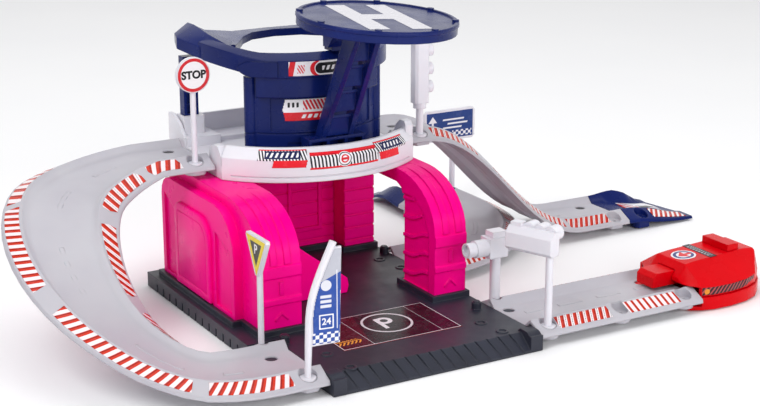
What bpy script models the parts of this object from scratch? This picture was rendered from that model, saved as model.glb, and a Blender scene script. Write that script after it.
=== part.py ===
"""Toy parking garage: a two-storey play set with ramps, ground tracks, a car launcher and signs.

Sizes are millimetres, turned into metres where a mesh is made. The origin is the centre of the
base plate's underside, +X runs along the front edge to the right, +Y runs away from the front.
"""
import math

import bmesh
import bpy
import numpy as np
from mathutils import Matrix, Vector

MM = 0.001

# Clearances and moulded walls
GAP = 0.3
WALL = 2.2

# Base plate
BASE_HALF_X = 74.5
BASE_FRONT = -108.0
BASE_BACK = 103.5
BASE_TOP = 9.0
BASE_SKIN = 2.6
NOTCH_INSET = 16.9
NOTCH_X = NOTCH_INSET - BASE_HALF_X
APRON_RUN = 10.0
APRON_LIP = 1.2
GROOVE_COUNT = 15
GROOVE_WIDTH = 1.3
GROOVE_SLANT = 4.0
KNOB_WIDTH = 8.0
KNOB_LENGTH = 14.0
KNOB_RISE = 1.8
SKIRT_RISE = 3.4
SKIRT_WALL = 2.4
LUG_SIZE = 5.6
LUG_RISE = 4.6

# Storeys: the deck stands on the pink walls
STOREY = 79.0
DECK_DROP = 8.0
DECK_TOP = BASE_TOP + STOREY
FASCIA_FOOT = DECK_TOP - DECK_DROP

# Pink walls
WALL_TOP = FASCIA_FOOT - GAP
VAULT_RISE = 30.7
VAULT_SPRING = WALL_TOP - VAULT_RISE
VAULT_RUN = 43.0
BLOCK_INSET = 7.0
BLOCK_STEP = 5.5
BLOCK_WIDTH = 25.0
BLOCK_SHOULDER = 23.0
BLOCK_CORNER = 26.0
BLOCK_LEFT = BLOCK_INSET - BASE_HALF_X
BLOCK_SIDE = BLOCK_LEFT + BLOCK_STEP
BLOCK_RIGHT = BLOCK_SIDE + BLOCK_WIDTH
BLOCK_FRONT = -32.5
BLOCK_SIDE_FRONT = BLOCK_FRONT + BLOCK_SHOULDER
BLOCK_BACK = BASE_BACK - 2.0 * BLOCK_STEP
BLOCK_RIM = WALL_TOP - 5.7
PILLAR_INSET = 1.5
PILLAR_WIDTH = 21.5
PILLAR_RIGHT = BASE_HALF_X - PILLAR_INSET
PILLAR_LEFT = PILLAR_RIGHT - PILLAR_WIDTH
PILLAR_DEPTH = 36.0
PILLAR_FRONT = -30.5
PILLAR_BACK = PILLAR_FRONT + PILLAR_DEPTH
LINTEL_HEIGHT = 8.2
LINTEL_BOTTOM = WALL_TOP - LINTEL_HEIGHT
LINTEL_WIDTH = 6.0
LINTEL_BEND = 20.0
BACK_PILLAR_DEPTH = 19.5
BACK_PILLAR_BACK = BASE_BACK - BLOCK_STEP
BACK_PILLAR_FRONT = BACK_PILLAR_BACK - BACK_PILLAR_DEPTH
BACK_WALL_FRONT = BLOCK_BACK + GAP
BACK_WALL_BACK = BACK_PILLAR_BACK
BAND_STEP = 1.0
RIB_START = 15.0
RIB_PITCH = 8.4
RIB_DEPTH = 1.0
SHELF_PITCH = 11.6

# Slide inside the garage
SLIDE_FRONT = 7.5
SLIDE_WIDTH = 42.0
SLIDE_REACH = 52.0
SLIDE_NOSE = BLOCK_RIGHT + SLIDE_REACH
SLIDE_START_HEIGHT = 60.0
SLIDE_NOSE_HEIGHT = 21.0

# Deck, round the tower's upright axis
TOWER_X = 17.0
TOWER_Y = 90.0
DECK_FLOOR = 3.0
DECK_LEFT_INSET = 23.9
DECK_RIGHT_INSET = 4.5
DECK_LEFT = DECK_LEFT_INSET - BASE_HALF_X
DECK_RIGHT = BASE_HALF_X - DECK_RIGHT_INSET
DECK_REAR = 28.0
DECK_BACK = TOWER_Y + DECK_REAR
FASCIA_RADIUS = 83.8
FASCIA_UPRIGHT = 5.5
FASCIA_SLOPE = 6.0
FASCIA_LEAN = 5.5
FASCIA_BEND = DECK_TOP + FASCIA_UPRIGHT
FASCIA_TOP = FASCIA_BEND + FASCIA_SLOPE
BACK_WALL_RISE = 14.0
SHOULDER_RISE = 17.0
DECK_BACK_WALL = DECK_TOP + BACK_WALL_RISE
SHOULDER_TOP = DECK_TOP + SHOULDER_RISE
PLATFORM_RISE = 5.6
PLATFORM_LENGTH = 23.0
HORN_RISE = 16.0
HORN_WIDTH = 5.0
JAW_LENGTH = 17.0

# Tower
FACADE_RADIUS = 58.5
FACADE_WALL = 2.4
FACADE_HEIGHT = 49.0
FACADE_BELT = 15.0
COLUMN_RADIUS = 3.7
COLUMN_LEFT_DEG = -138.5
COLUMN_RIGHT_DEG = -47.7
RING_STEP = 3.5
RING_UPRIGHT = 10.0
RING_SLOPE = 3.5
RING_LEAN = 6.0
RING_SKIN = 2.2
RING_RADIUS = FACADE_RADIUS + RING_STEP
RING_BOTTOM = DECK_TOP + FACADE_HEIGHT
RING_BEND = RING_BOTTOM + RING_UPRIGHT
RING_TOP = RING_BEND + RING_SLOPE
RING_LIP = 1.2
VISOR_DROP = 12.0
VISOR_BOTTOM = RING_BOTTOM - VISOR_DROP
CANOPY_RISE = 9.0
CANOPY_LEAN = 6.0
CANOPY_CREST = 8.0
CANOPY_START = TOWER_X - 0.6 * RING_RADIUS
CANOPY_TIP = TOWER_X - 1.097 * RING_RADIUS
BACK_BAND_DEPTH = 3.4
TILE_LEFT_DEG = -143.5
TILE_RIGHT_DEG = -121.0
POST_WIDTH = 9.4
POST_DEPTH = 6.6
POST_INSET = 12.0
POST_WALL = 2.0
POST_X = DECK_LEFT + 9.0
POST_Y = DECK_BACK - POST_INSET

# Helipad
PAD_REACH = 113.8
PAD_RISE = 29.7
PAD_X = TOWER_X
PAD_Y = TOWER_Y - PAD_REACH
PAD_TOP = RING_TOP + PAD_RISE
PAD_RADIUS = 45.4
PAD_THICK = 6.6
PAD_RECESS = 0.8
PAD_RIM = 2.4
PAD_NUB_COUNT = 8
PAD_ROLL_DEG = 4.1
PAD_NOD_DEG = 1.0
STRUT_WIDTH = 21.7
STRUT_TAPER = 5.0
STRUT_RAIL = 3.4
STRUT_DEPTH = 7.4
STRUT_GROW = 6.6
STRUT_STEP_COUNT = 4
STRUT_LEFT = TOWER_X - 13.0
FOOT_WIDTH = 37.2
FOOT_DEPTH = 10.0
FOOT_RISE = 14.4
FOOT_LEFT = STRUT_LEFT - 8.0
FOOT_RIGHT = FOOT_LEFT + FOOT_WIDTH
FOOT_BACK = TOWER_Y - FACADE_RADIUS - 2.0
FOOT_FRONT = FOOT_BACK - FOOT_DEPTH
FOOT_TOP = DECK_TOP + FOOT_RISE
CLIP_NECK = 20.0

# Track section: floor, sloping wall, kerb falling outwards, skirt
FLOOR_HALF = 13.8
WALL_RUN = 4.7
WALL_RISE = 4.5
KERB_RUN = 10.8
KERB_DROP = 5.3
TRACK_SKIRT = 2.4
TRACK_SKIN = 1.6
GROUND_Z = BASE_TOP
HOLE_RADIUS = 3.5
HOLE_OFFSET = 9.0
POCKET_OFFSET = 24.0
POCKET_RADIUS = 5.0
POCKET_FLOOR = -1.2
BOSS_RADIUS = 6.3
BOSS_FOOT = -5.6
PANEL_HALF = 10.0
PANEL_DEPTH = 2.4

# Left ramp: a half turn that rises, leans inwards and is a little wider than the other tracks
LEFT_CENTRE_X = -83.6
LEFT_CENTRE_Y = 5.4
LEFT_RADIUS = 73.1
LEFT_WIDEN = 2.2
LEFT_FLARE_OUT = 5.3
LEFT_LEAN_DEG = 9.6
LEFT_SAG = 10.0
LEFT_RISE_FROM_SHARE = 0.02
LEFT_RISE_TO_SHARE = 0.75
DECK_JOINT = 1.4
LEFT_END_LOW = NOTCH_X - GAP
LEFT_END_HIGH = DECK_LEFT - DECK_JOINT

# Right ramp and its run-out
RIGHT_Y = 72.0
RIGHT_LEVEL = 17.7
RIGHT_FALL = 130.0
RIGHT_RUN = 37.0
RIGHT_START = DECK_RIGHT + GAP
RIGHT_FALL_START = RIGHT_START + RIGHT_LEVEL
RIGHT_FALL_END = RIGHT_FALL_START + RIGHT_FALL
RIGHT_END = RIGHT_FALL_END + RIGHT_RUN
FLARE_LENGTH = 56.0
FLARE_DROP = 6.0
FLARE_HUMP = 4.0
FLARE_SLANT = 10.0
FLARE_SOCKET = 14.0

# Curved ground track
CURVE_START = BASE_HALF_X + GAP
CURVE_Y = 41.8
CURVE_LEVEL = 8.8
CURVE_STRAIGHT_END = CURVE_START + CURVE_LEVEL
CURVE_RADIUS = 83.0
CURVE_RUN = 30.2
CURVE_END_Y = CURVE_Y + CURVE_RADIUS + CURVE_RUN

# Straight ground track and launcher
STRAIGHT_LENGTH = 117.2
STRAIGHT_START = BASE_HALF_X + GAP
STRAIGHT_Y = -74.5
STRAIGHT_END = STRAIGHT_START + STRAIGHT_LENGTH
STRAIGHT_WIDEN = 1.6
LAUNCHER_OVERLAP = 5.0
LAUNCHER_LENGTH = 63.0
LAUNCHER_LEFT = STRAIGHT_END - LAUNCHER_OVERLAP
LAUNCHER_RIGHT = LAUNCHER_LEFT + LAUNCHER_LENGTH
LAUNCHER_HALF = 31.0
LAUNCHER_SHELL = 2.2
LAUNCHER_FOOT = 0.6
LAUNCHER_FLOOR = 3.0
LAUNCHER_SPLIT = 8.4
LAUNCHER_TOP = 27.0
LAUNCHER_RIM = 1.2
TOP_HALF = 13.0
PUSHER_HALF = 7.5
PUSHER_BOTTOM = 11.0
PUSHER_TOP = 19.6
PUSHER_REACH = 14.0
PUSHER_BACK = 16.0
BUTTON_BACK = 19.0
BUTTON_X = LAUNCHER_RIGHT - BUTTON_BACK
BUTTON_HALF_X = 4.2
BUTTON_HALF_Y = 11.5
BUTTON_RISE = 4.0
BUTTON_SEAT = 22.6
BUTTON_TRAVEL = 2.5
BUTTON_WALL = 1.6
SPRING_RADIUS = 2.6
SPRING_WIRE = 0.5
SPRING_SEAT = 10.0
SADDLE_HALF = 5.0
SADDLE_LENGTH = 6.8

# Screws
SCREW_SHANK = 1.5
SCREW_HEAD = 3.0
SCREW_HEAD_HEIGHT = 1.6
SCREW_LENGTH = 10.0
SCREW_CLEAR = 0.35

# Where sockets and floor holes lie, from the ends of their tracks
SOCKET_INSET = 9.6
PARKING_INSET = 11.8
LIGHT_INSET = 18.2
CAMERA_INSET = 5.8
MIDDLE_INSET = 60.5
LEFT_LOW_INSET = 13.8
LEFT_HIGH_INSET = 12.0
RIGHT_HIGH_INSET = 15.0
RIGHT_LOW_INSET = 13.6
CURVE_LOW_INSET = 8.8
CURVE_HIGH_INSET = 13.5
STRAIGHT_LOW_INSET = 5.8
STRAIGHT_HIGH_INSET = 15.0

# Signs
POST_RADIUS = 1.7
PEG_RADIUS = 1.6
PEG_LENGTH = 4.0
PEG_CLEAR = 0.15
FOOT_RADIUS = 4.6
FOOT_HEIGHT = 1.8
SIGN_PLATE = 2.0
STOP_RADIUS = 10.4
STOP_CENTRE = 53.2
PARKING_LOW = 42.0
PARKING_HEIGHT = 22.0
PARKING_HALF = 11.6
FLAG_TURN_DEG = -9.0
FLAG_HEIGHT = 73.0
FLAG_BOW = 17.5
FLAG_LOW = 18.2
FLAG_WIDTH = 18.6
LIGHT_LOW = 21.0
LIGHT_HEIGHT = 42.0
LIGHT_HALF = 4.2
LIGHT_PITCH = 11.5
LIGHT_LAMP = 3.9
GANTRY_TURN_DEG = 21.6
GANTRY_LOW = 41.5
GANTRY_HEIGHT = 14.0
GANTRY_REACH = 27.0
GANTRY_HALF = 4.6
GANTRY_PITCH = 7.3
GANTRY_LAMP = 4.4
CAMERA_LOW = 29.0
CAMERA_HEIGHT = 15.5
CAMERA_HALF = 5.0
CAMERA_LENS = 20.5
CAMERA_LENS_RADIUS = 4.4
BOARD_LOW = 38.0
BOARD_HEIGHT = 23.0
BOARD_LEFT = 24.5
BOARD_RIGHT = 18.0


def material(name, colour, roughness, metallic=0.0):
    """A Principled material with one colour, given as linear red, green and blue."""
    mat = bpy.data.materials.new(name)
    mat.use_nodes = True
    shader = mat.node_tree.nodes["Principled BSDF"]
    shader.inputs["Base Color"].default_value = (*colour, 1.0)
    shader.inputs["Roughness"].default_value = roughness
    shader.inputs["Metallic"].default_value = metallic
    mat.diffuse_color = (*colour, 1.0)
    return mat


def solid(verts, faces, name="tool", mat=None):
    """Object from vertices in millimetres, with every face turned outwards."""
    mesh = bpy.data.meshes.new(name)
    mesh.from_pydata([tuple(float(c) * MM for c in v) for v in verts], [], faces)
    bm = bmesh.new()
    bm.from_mesh(mesh)
    bmesh.ops.remove_doubles(bm, verts=bm.verts, dist=0.00001)
    bmesh.ops.recalc_face_normals(bm, faces=bm.faces)
    bm.to_mesh(mesh)
    bm.free()
    obj = bpy.data.objects.new(name, mesh)
    bpy.context.scene.collection.objects.link(obj)
    if mat is not None:
        mesh.materials.append(mat)
    return obj


def loft(rings, closed=False):
    """Skin between rings of equally many points, capped at both ends or joined end to end."""
    count = len(rings[0])
    verts = [p for ring in rings for p in ring]
    faces = []
    spans = len(rings) if closed else len(rings) - 1
    for i in range(spans):
        a = i * count
        b = ((i + 1) % len(rings)) * count
        for j in range(count):
            k = (j + 1) % count
            faces.append((a + j, a + k, b + k, b + j))
    if not closed:
        faces.append(tuple(range(count)))
        faces.append(tuple(range((len(rings) - 1) * count, len(rings) * count)))
    return verts, faces


def prism(outline, low, high, axis="Z"):
    """Outline swept from low to high. The outline lies in XY for axis Z, in YZ for axis X, in XZ for axis Y."""
    def place(u, v, w):
        if axis == "Z":
            return (u, v, w)
        if axis == "X":
            return (w, u, v)
        return (u, w, v)
    return solid(*loft([[place(u, v, w) for u, v in outline] for w in (low, high)]))


def box(x0, x1, y0, y1, z0, z1):
    """Axis-aligned block."""
    return prism([(x0, y0), (x1, y0), (x1, y1), (x0, y1)], z0, z1)


def circle(cx, cy, radius, count=24, start=0.0, turn=360.0):
    """Points round a circle, or along an arc of it when turn is less than 360 degrees."""
    last = count if turn >= 360.0 else count - 1
    angles = [math.radians(start + turn * i / last) for i in range(count)]
    return [(cx + radius * math.cos(a), cy + radius * math.sin(a)) for a in angles]


def rod(cx, cy, radius, z0, z1, count=20):
    """Upright cylinder."""
    return prism(circle(cx, cy, radius, count), z0, z1)


def arc_band(section, start, end, steps, rise=None):
    """Section of (radius, z) points swept round the tower's axis between two angles in degrees."""
    rings = []
    for i in range(steps + 1):
        angle = math.radians(start + (end - start) * i / steps)
        ring = []
        for radius, z in section:
            x = TOWER_X + radius * math.cos(angle)
            y = TOWER_Y + radius * math.sin(angle)
            ring.append((x, y, z + (rise(x) if rise else 0.0)))
        rings.append(ring)
    return solid(*loft(rings))


def combine(target, tools, operation):
    """Apply one Boolean for each tool in turn, and remove the tools."""
    for tool in tools:
        step = target.modifiers.new(operation.title(), "BOOLEAN")
        step.solver = "EXACT"
        step.operation = operation
        step.object = tool
        tool.hide_render = True
        tool.display_type = "WIRE"
    evaluated = target.evaluated_get(bpy.context.evaluated_depsgraph_get())
    mesh = bpy.data.meshes.new_from_object(evaluated)
    target.modifiers.clear()
    old = target.data
    target.data = mesh
    bpy.data.meshes.remove(old)
    for tool in tools:
        bpy.data.objects.remove(tool)
    return target


def cut(target, *tools):
    return combine(target, tools, "DIFFERENCE")


def fuse(target, *tools):
    return combine(target, tools, "UNION")


def keep_inside(target, tool):
    return combine(target, [tool], "INTERSECT")


def finish(obj, name, mat, origin=None, smooth_deg=35.0):
    """Name a finished piece, give it its one material, and put its origin on its joint's axis."""
    mesh = obj.data
    bm = bmesh.new()
    bm.from_mesh(mesh)
    bmesh.ops.remove_doubles(bm, verts=bm.verts, dist=0.000005)
    bmesh.ops.dissolve_degenerate(bm, edges=bm.edges, dist=0.000005)
    bm.to_mesh(mesh)
    bm.free()
    mesh.materials.clear()
    mesh.materials.append(mat)
    for polygon in mesh.polygons:
        polygon.material_index = 0
    mesh.shade_smooth()
    mesh.set_sharp_from_angle(angle=math.radians(smooth_deg))
    if origin is not None:
        place = Vector(origin) * MM
        mesh.transform(Matrix.Translation(-place))
        obj.location = place
    obj.name = name
    mesh.name = name
    return obj


def smoothstep(t):
    t = min(max(t, 0.0), 1.0)
    return t * t * (3.0 - 2.0 * t)


def smootherstep(t):
    t = min(max(t, 0.0), 1.0)
    return t * t * t * (t * (6.0 * t - 15.0) + 10.0)


# The scene starts empty
for old_object in list(bpy.data.objects):
    bpy.data.objects.remove(old_object)

CHARCOAL = material("charcoal plastic", (0.024, 0.022, 0.027), 0.5)
PINK = material("pink plastic", (0.83, 0.004, 0.16), 0.32)
WHITE = material("white plastic", (0.82, 0.80, 0.85), 0.35)
NAVY = material("navy plastic", (0.015, 0.03, 0.14), 0.32)
GREY = material("light grey plastic", (0.60, 0.59, 0.63), 0.4)
RED = material("red plastic", (0.82, 0.0, 0.006), 0.3)
STEEL = material("steel", (0.55, 0.55, 0.56), 0.35, 1.0)

# Values that several pieces share
TRACK_HALF = FLOOR_HALF + WALL_RUN + KERB_RUN + 0.7
DECK_UNDER = DECK_TOP - DECK_FLOOR
FACADE_INNER = FACADE_RADIUS - FACADE_WALL
FOOT_Z = BASE_TOP + GAP
LAUNCHER_SCREWS = [(LAUNCHER_RIGHT - 3.0 * SCREW_HEAD, STRAIGHT_Y), (LAUNCHER_RIGHT - 8.0 * SCREW_HEAD, STRAIGHT_Y - 19.0),
                   (LAUNCHER_RIGHT - 8.0 * SCREW_HEAD, STRAIGHT_Y + 19.0)]


# Tracks and ramps: one section carried along a path

def track_section(widen=0.0):
    """Closed outline of the moulded track, (across, up) from the floor's centre."""
    floor_half = FLOOR_HALF + widen
    track_half = TRACK_HALF + widen
    wall_top = floor_half + WALL_RUN
    kerb_edge = wall_top + KERB_RUN
    kerb_low = WALL_RISE - KERB_DROP
    skirt = kerb_low - TRACK_SKIRT
    half = [(floor_half, 0.0), (wall_top, WALL_RISE), (kerb_edge, kerb_low), (track_half, skirt)]
    under = [
        (track_half - TRACK_SKIN, skirt),
        (kerb_edge - TRACK_SKIN, kerb_low - 0.8 * TRACK_SKIN),
        (wall_top + 0.2 * TRACK_SKIN, WALL_RISE - 1.25 * TRACK_SKIN),
        (floor_half + 0.35 * TRACK_SKIN, -TRACK_SKIN),
    ]
    right = half + under
    return right + [(-u, w) for u, w in reversed(right)]


def full_section(widen=0.0):
    """The outer line moved half a skin inwards, and filled down below the bosses' feet."""
    half_skin = 0.4 * TRACK_SKIN
    top = [(u - half_skin, w - half_skin) for u, w in track_section(widen)[:4]]
    right = top[:3] + [(top[2][0], BOSS_FOOT - 4.0)]
    return right + [(-u, w) for u, w in reversed(right)]


def along(path, section):
    """Section square to the path at each (x, y, z, heading, lean) station. Lean lowers the right side."""
    rings = []
    for x, y, z, heading, lean in path:
        side_x = math.sin(heading)
        side_y = -math.cos(heading)
        flat = math.cos(lean)
        drop = math.sin(lean)
        rings.append([(x + u * flat * side_x, y + u * flat * side_y, z + w - u * drop) for u, w in section])
    return solid(*loft(rings))


def build_track(path, pockets, holes, widen=0.0):
    """Track shell with socket bosses under the kerbs, sockets with their peg holes, and floor holes."""
    shell = along(path, track_section(widen))
    for x, y, z in pockets:
        boss = rod(x, y, BOSS_RADIUS, z + BOSS_FOOT, z + WALL_RISE + 1.0, 16)
        keep_inside(boss, along(path, full_section(widen)))
        fuse(shell, boss)
    tools = []
    for x, y, z in pockets:
        tools.append(rod(x, y, POCKET_RADIUS, z + POCKET_FLOOR, z + WALL_RISE + 4.0, 20))
        tools.append(rod(x, y, PEG_RADIUS + PEG_CLEAR, z + BOSS_FOOT - 1.0, z + 1.0, 12))
    for x, y, z in holes:
        tools.append(rod(x, y, HOLE_RADIUS, z - 6.0, z + 6.0, 16))
    return cut(shell, *tools)


def left_path():
    """From the base, round the half turn and up to the deck."""
    steps = 28
    low_y = LEFT_CENTRE_Y - LEFT_RADIUS - LEFT_FLARE_OUT
    path = [(LEFT_END_LOW, low_y, GROUND_Z, math.pi, 0.0)]
    centre = []
    for i in range(steps + 1):
        t = i / steps
        angle = math.radians(-90.0 - 180.0 * t)
        reach = LEFT_RADIUS + LEFT_FLARE_OUT * (1.0 - smoothstep(t / 0.3))
        x = LEFT_CENTRE_X + reach * math.cos(angle)
        y = LEFT_CENTRE_Y + reach * math.sin(angle)
        bend = math.sin(math.pi * t)
        rise = smoothstep((t - LEFT_RISE_FROM_SHARE) / (LEFT_RISE_TO_SHARE - LEFT_RISE_FROM_SHARE))
        z = max(GROUND_Z + (DECK_TOP - GROUND_Z) * rise - LEFT_SAG * bend, GROUND_Z)
        centre.append((x, y, z, math.radians(LEFT_LEAN_DEG) * bend * smoothstep(t / 0.2)))
    for i, (x, y, z, lean) in enumerate(centre):
        before = centre[max(i - 1, 0)]
        after = centre[min(i + 1, steps)]
        heading = math.atan2(after[1] - before[1], after[0] - before[0])
        if i == 0:
            heading = math.pi
        if i == steps:
            heading = 0.0
        path.append((x, y, z, heading, lean))
    path.append((LEFT_END_HIGH, LEFT_CENTRE_Y + LEFT_RADIUS, DECK_TOP, 0.0, 0.0))
    return path


def right_path():
    """From the deck straight out, falling in an S to the ground."""
    xs = [RIGHT_START] + list(np.linspace(RIGHT_FALL_START, RIGHT_FALL_END, 19)) + [RIGHT_END]
    path = []
    for x in xs:
        t = (x - RIGHT_FALL_START) / (RIGHT_FALL_END - RIGHT_FALL_START)
        fall = 0.5 * smoothstep(t) + 0.5 * smootherstep(t)
        path.append((float(x), RIGHT_Y, DECK_TOP + (GROUND_Z - DECK_TOP) * fall, 0.0, 0.0))
    return path


def curve_path():
    """From the base's right edge, then a quarter turn to the left, level."""
    steps = 14
    centre_y = CURVE_Y + CURVE_RADIUS
    path = [(CURVE_START, CURVE_Y, GROUND_Z, 0.0, 0.0)]
    for i in range(steps + 1):
        heading = math.radians(90.0 * i / steps)
        x = CURVE_STRAIGHT_END + CURVE_RADIUS * math.sin(heading)
        y = centre_y - CURVE_RADIUS * math.cos(heading)
        path.append((x, y, GROUND_Z, heading, 0.0))
    path.append((CURVE_STRAIGHT_END + CURVE_RADIUS, CURVE_END_Y, GROUND_Z, math.radians(90.0), 0.0))
    return path


def straight_path():
    return [(STRAIGHT_START, STRAIGHT_Y, GROUND_Z, 0.0, 0.0), (STRAIGHT_END, STRAIGHT_Y, GROUND_Z, 0.0, 0.0)]


LEFT_PATH = left_path()
RIGHT_PATH = right_path()
CURVE_PATH = curve_path()
STRAIGHT_PATH = straight_path()

# Sockets that hold signs, and the empty ones
LEFT_LOW_Y = LEFT_CENTRE_Y - LEFT_RADIUS - LEFT_FLARE_OUT
LEFT_HIGH_Y = LEFT_CENTRE_Y + LEFT_RADIUS
WIDE_OFFSET = POCKET_OFFSET + 0.5 * LEFT_WIDEN
STOP_SPOT = (LEFT_END_HIGH - SOCKET_INSET, LEFT_HIGH_Y - WIDE_OFFSET, DECK_TOP)
PARKING_SPOT = (LEFT_END_LOW - PARKING_INSET, LEFT_LOW_Y + WIDE_OFFSET, GROUND_Z)
FLAG_SPOT = (LEFT_END_LOW - SOCKET_INSET, LEFT_LOW_Y - WIDE_OFFSET, GROUND_Z)
LIGHT_SPOT = (RIGHT_START + LIGHT_INSET, RIGHT_Y - POCKET_OFFSET, DECK_TOP)
GANTRY_SPOT = (STRAIGHT_START + SOCKET_INSET, STRAIGHT_Y - POCKET_OFFSET, GROUND_Z)
CAMERA_SPOT = (STRAIGHT_START + CAMERA_INSET, STRAIGHT_Y + POCKET_OFFSET, GROUND_Z)
MIDDLE_SPOT = (STRAIGHT_START + MIDDLE_INSET, STRAIGHT_Y - POCKET_OFFSET, GROUND_Z)
END_SPOT = (STRAIGHT_END - SOCKET_INSET, STRAIGHT_Y - POCKET_OFFSET, GROUND_Z)
RIGHT_END_SPOT = (RIGHT_END - SOCKET_INSET, RIGHT_Y - POCKET_OFFSET, GROUND_Z)

# Floor holes over the neighbours' pegs
LEFT_LOW_HOLE = (LEFT_END_LOW - LEFT_LOW_INSET, LEFT_LOW_Y + HOLE_OFFSET, GROUND_Z)
LEFT_HIGH_HOLE = (LEFT_END_HIGH - LEFT_HIGH_INSET, LEFT_HIGH_Y + HOLE_OFFSET, DECK_TOP)
RIGHT_HIGH_HOLE = (RIGHT_START + RIGHT_HIGH_INSET, RIGHT_Y + 0.5 * HOLE_OFFSET, DECK_TOP)
RIGHT_LOW_HOLE = (RIGHT_END - RIGHT_LOW_INSET, RIGHT_Y + HOLE_OFFSET, GROUND_Z)
CURVE_LOW_HOLE = (CURVE_START + CURVE_LOW_INSET, CURVE_Y, GROUND_Z)
CURVE_HIGH_HOLE = (CURVE_STRAIGHT_END + CURVE_RADIUS + HOLE_OFFSET, CURVE_END_Y - CURVE_HIGH_INSET, GROUND_Z)
STRAIGHT_LOW_HOLE = (STRAIGHT_START + STRAIGHT_LOW_INSET, STRAIGHT_Y + HOLE_OFFSET, GROUND_Z)
STRAIGHT_HIGH_HOLE = (STRAIGHT_END - STRAIGHT_HIGH_INSET, STRAIGHT_Y + HOLE_OFFSET, GROUND_Z)

LEFT_RAMP = build_track(
    LEFT_PATH, [STOP_SPOT, PARKING_SPOT, FLAG_SPOT], [LEFT_LOW_HOLE, LEFT_HIGH_HOLE], LEFT_WIDEN
)
finish(LEFT_RAMP, "left_ramp", GREY)
RIGHT_RAMP = build_track(RIGHT_PATH, [LIGHT_SPOT, RIGHT_END_SPOT], [RIGHT_HIGH_HOLE, RIGHT_LOW_HOLE])
# A stiffening panel runs under the falling part
PANEL_OUTLINE = [(PANEL_HALF, 0.5 - TRACK_SKIN), (0.9 * PANEL_HALF, -TRACK_SKIN - PANEL_DEPTH),
                 (-0.9 * PANEL_HALF, -TRACK_SKIN - PANEL_DEPTH), (-PANEL_HALF, 0.5 - TRACK_SKIN)]
fuse(RIGHT_RAMP, along(RIGHT_PATH[3:18], PANEL_OUTLINE))
finish(RIGHT_RAMP, "right_ramp", GREY)
CURVE_SPOT = (CURVE_STRAIGHT_END + CURVE_RADIUS - POCKET_OFFSET, CURVE_END_Y - SOCKET_INSET, GROUND_Z)
CURVE_TRACK = build_track(CURVE_PATH, [CURVE_SPOT], [CURVE_LOW_HOLE, CURVE_HIGH_HOLE])
finish(CURVE_TRACK, "curve_track", GREY)
STRAIGHT_TRACK = build_track(
    STRAIGHT_PATH, [GANTRY_SPOT, CAMERA_SPOT, MIDDLE_SPOT, END_SPOT], [STRAIGHT_LOW_HOLE, STRAIGHT_HIGH_HOLE],
    STRAIGHT_WIDEN
)
finish(STRAIGHT_TRACK, "straight_track", GREY)


def tongue(hole, toward, inset, root, step=False):
    """Flat tongue under a track's end, with a round peg standing in the floor hole.

    toward is the unit direction from the carrier into the track, inset the hole's distance from the
    track's end and root how far the tongue reaches back into the carrier.
    With a step its root rises into the carrier's own floor.
    """
    x, y, z = hole
    half = 6.0
    top = z - TRACK_SKIN - GAP
    dx, dy = toward
    far = 5.5
    root = inset + root
    corners = [
        (x - dx * root - dy * half, y - dy * root + dx * half),
        (x - dx * root + dy * half, y - dy * root - dx * half),
        (x + dx * far + dy * half, y + dy * far - dx * half),
        (x + dx * far - dy * half, y + dy * far + dx * half),
    ]
    plate = prism(corners, top - 2.4, top)
    fuse(plate, rod(x, y, HOLE_RADIUS - GAP, top - 1.0, z - 0.6, 16))
    if step:
        start = inset + 2.0 * GAP
        block = [
            (x - dx * root - dy * half, y - dy * root + dx * half),
            (x - dx * root + dy * half, y - dy * root - dx * half),
            (x - dx * start + dy * half, y - dy * start - dx * half),
            (x - dx * start - dy * half, y - dy * start + dx * half),
        ]
        fuse(plate, prism(block, top - 2.4, z - 0.8))
    return plate


def build_flare(x0, y0, direction_deg, peg, name):
    """Run-out that falls from a track's end to the ground. Its left kerb stays high, its end is slanted."""
    heading = math.radians(direction_deg)
    dx, dy = math.cos(heading), math.sin(heading)
    steps = 9

    def skin(section):
        rings = []
        for i in range(steps + 1):
            t = i / steps
            fall = FLARE_DROP * smoothstep(t)
            keep = FLARE_HUMP * smoothstep(t / 0.5) * (1.0 - smoothstep((t - 0.62) / 0.38))
            fade = 1.0 - 0.8 * smoothstep((t - 0.4) / 0.6)
            ring = []
            for u, w in section:
                height = w * fade if w > -TRACK_SKIN + 0.01 else -TRACK_SKIN + (w + TRACK_SKIN) * fade
                z = GROUND_Z - fall + height + (keep if u < -FLOOR_HALF - 1.0 else 0.0)
                length = FLARE_LENGTH + FLARE_SLANT * (u / TRACK_HALF - 1.0) * 0.5
                distance = GAP + (length - GAP) * t
                ring.append((x0 + distance * dx + u * dy, y0 + distance * dy - u * dx, z))
            rings.append(ring)
        return solid(*loft(rings))

    flare = skin(track_section())
    spot = flare_spot(x0, y0, heading)
    boss = rod(spot[0], spot[1], BOSS_RADIUS, 0.6, spot[2] + 8.0, 16)
    keep_inside(boss, skin(full_section()))
    fuse(flare, boss)
    cut(flare, rod(spot[0], spot[1], POCKET_RADIUS, spot[2] + POCKET_FLOOR, spot[2] + 12.0, 20),
        rod(spot[0], spot[1], PEG_RADIUS + PEG_CLEAR, -1.0, spot[2] + 1.0, 12))
    inset = abs((x0 - peg[0]) * dx + (y0 - peg[1]) * dy)
    fuse(flare, tongue(peg, (-dx, -dy), inset, 6.0, True))
    return finish(flare, name, NAVY)


def flare_spot(x0, y0, heading):
    """Centre of the socket in a run-out's right kerb."""
    dx, dy = math.cos(heading), math.sin(heading)
    return (x0 + FLARE_SOCKET * dx + POCKET_OFFSET * dy, y0 + FLARE_SOCKET * dy - POCKET_OFFSET * dx, GROUND_Z - 1.0)


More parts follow.
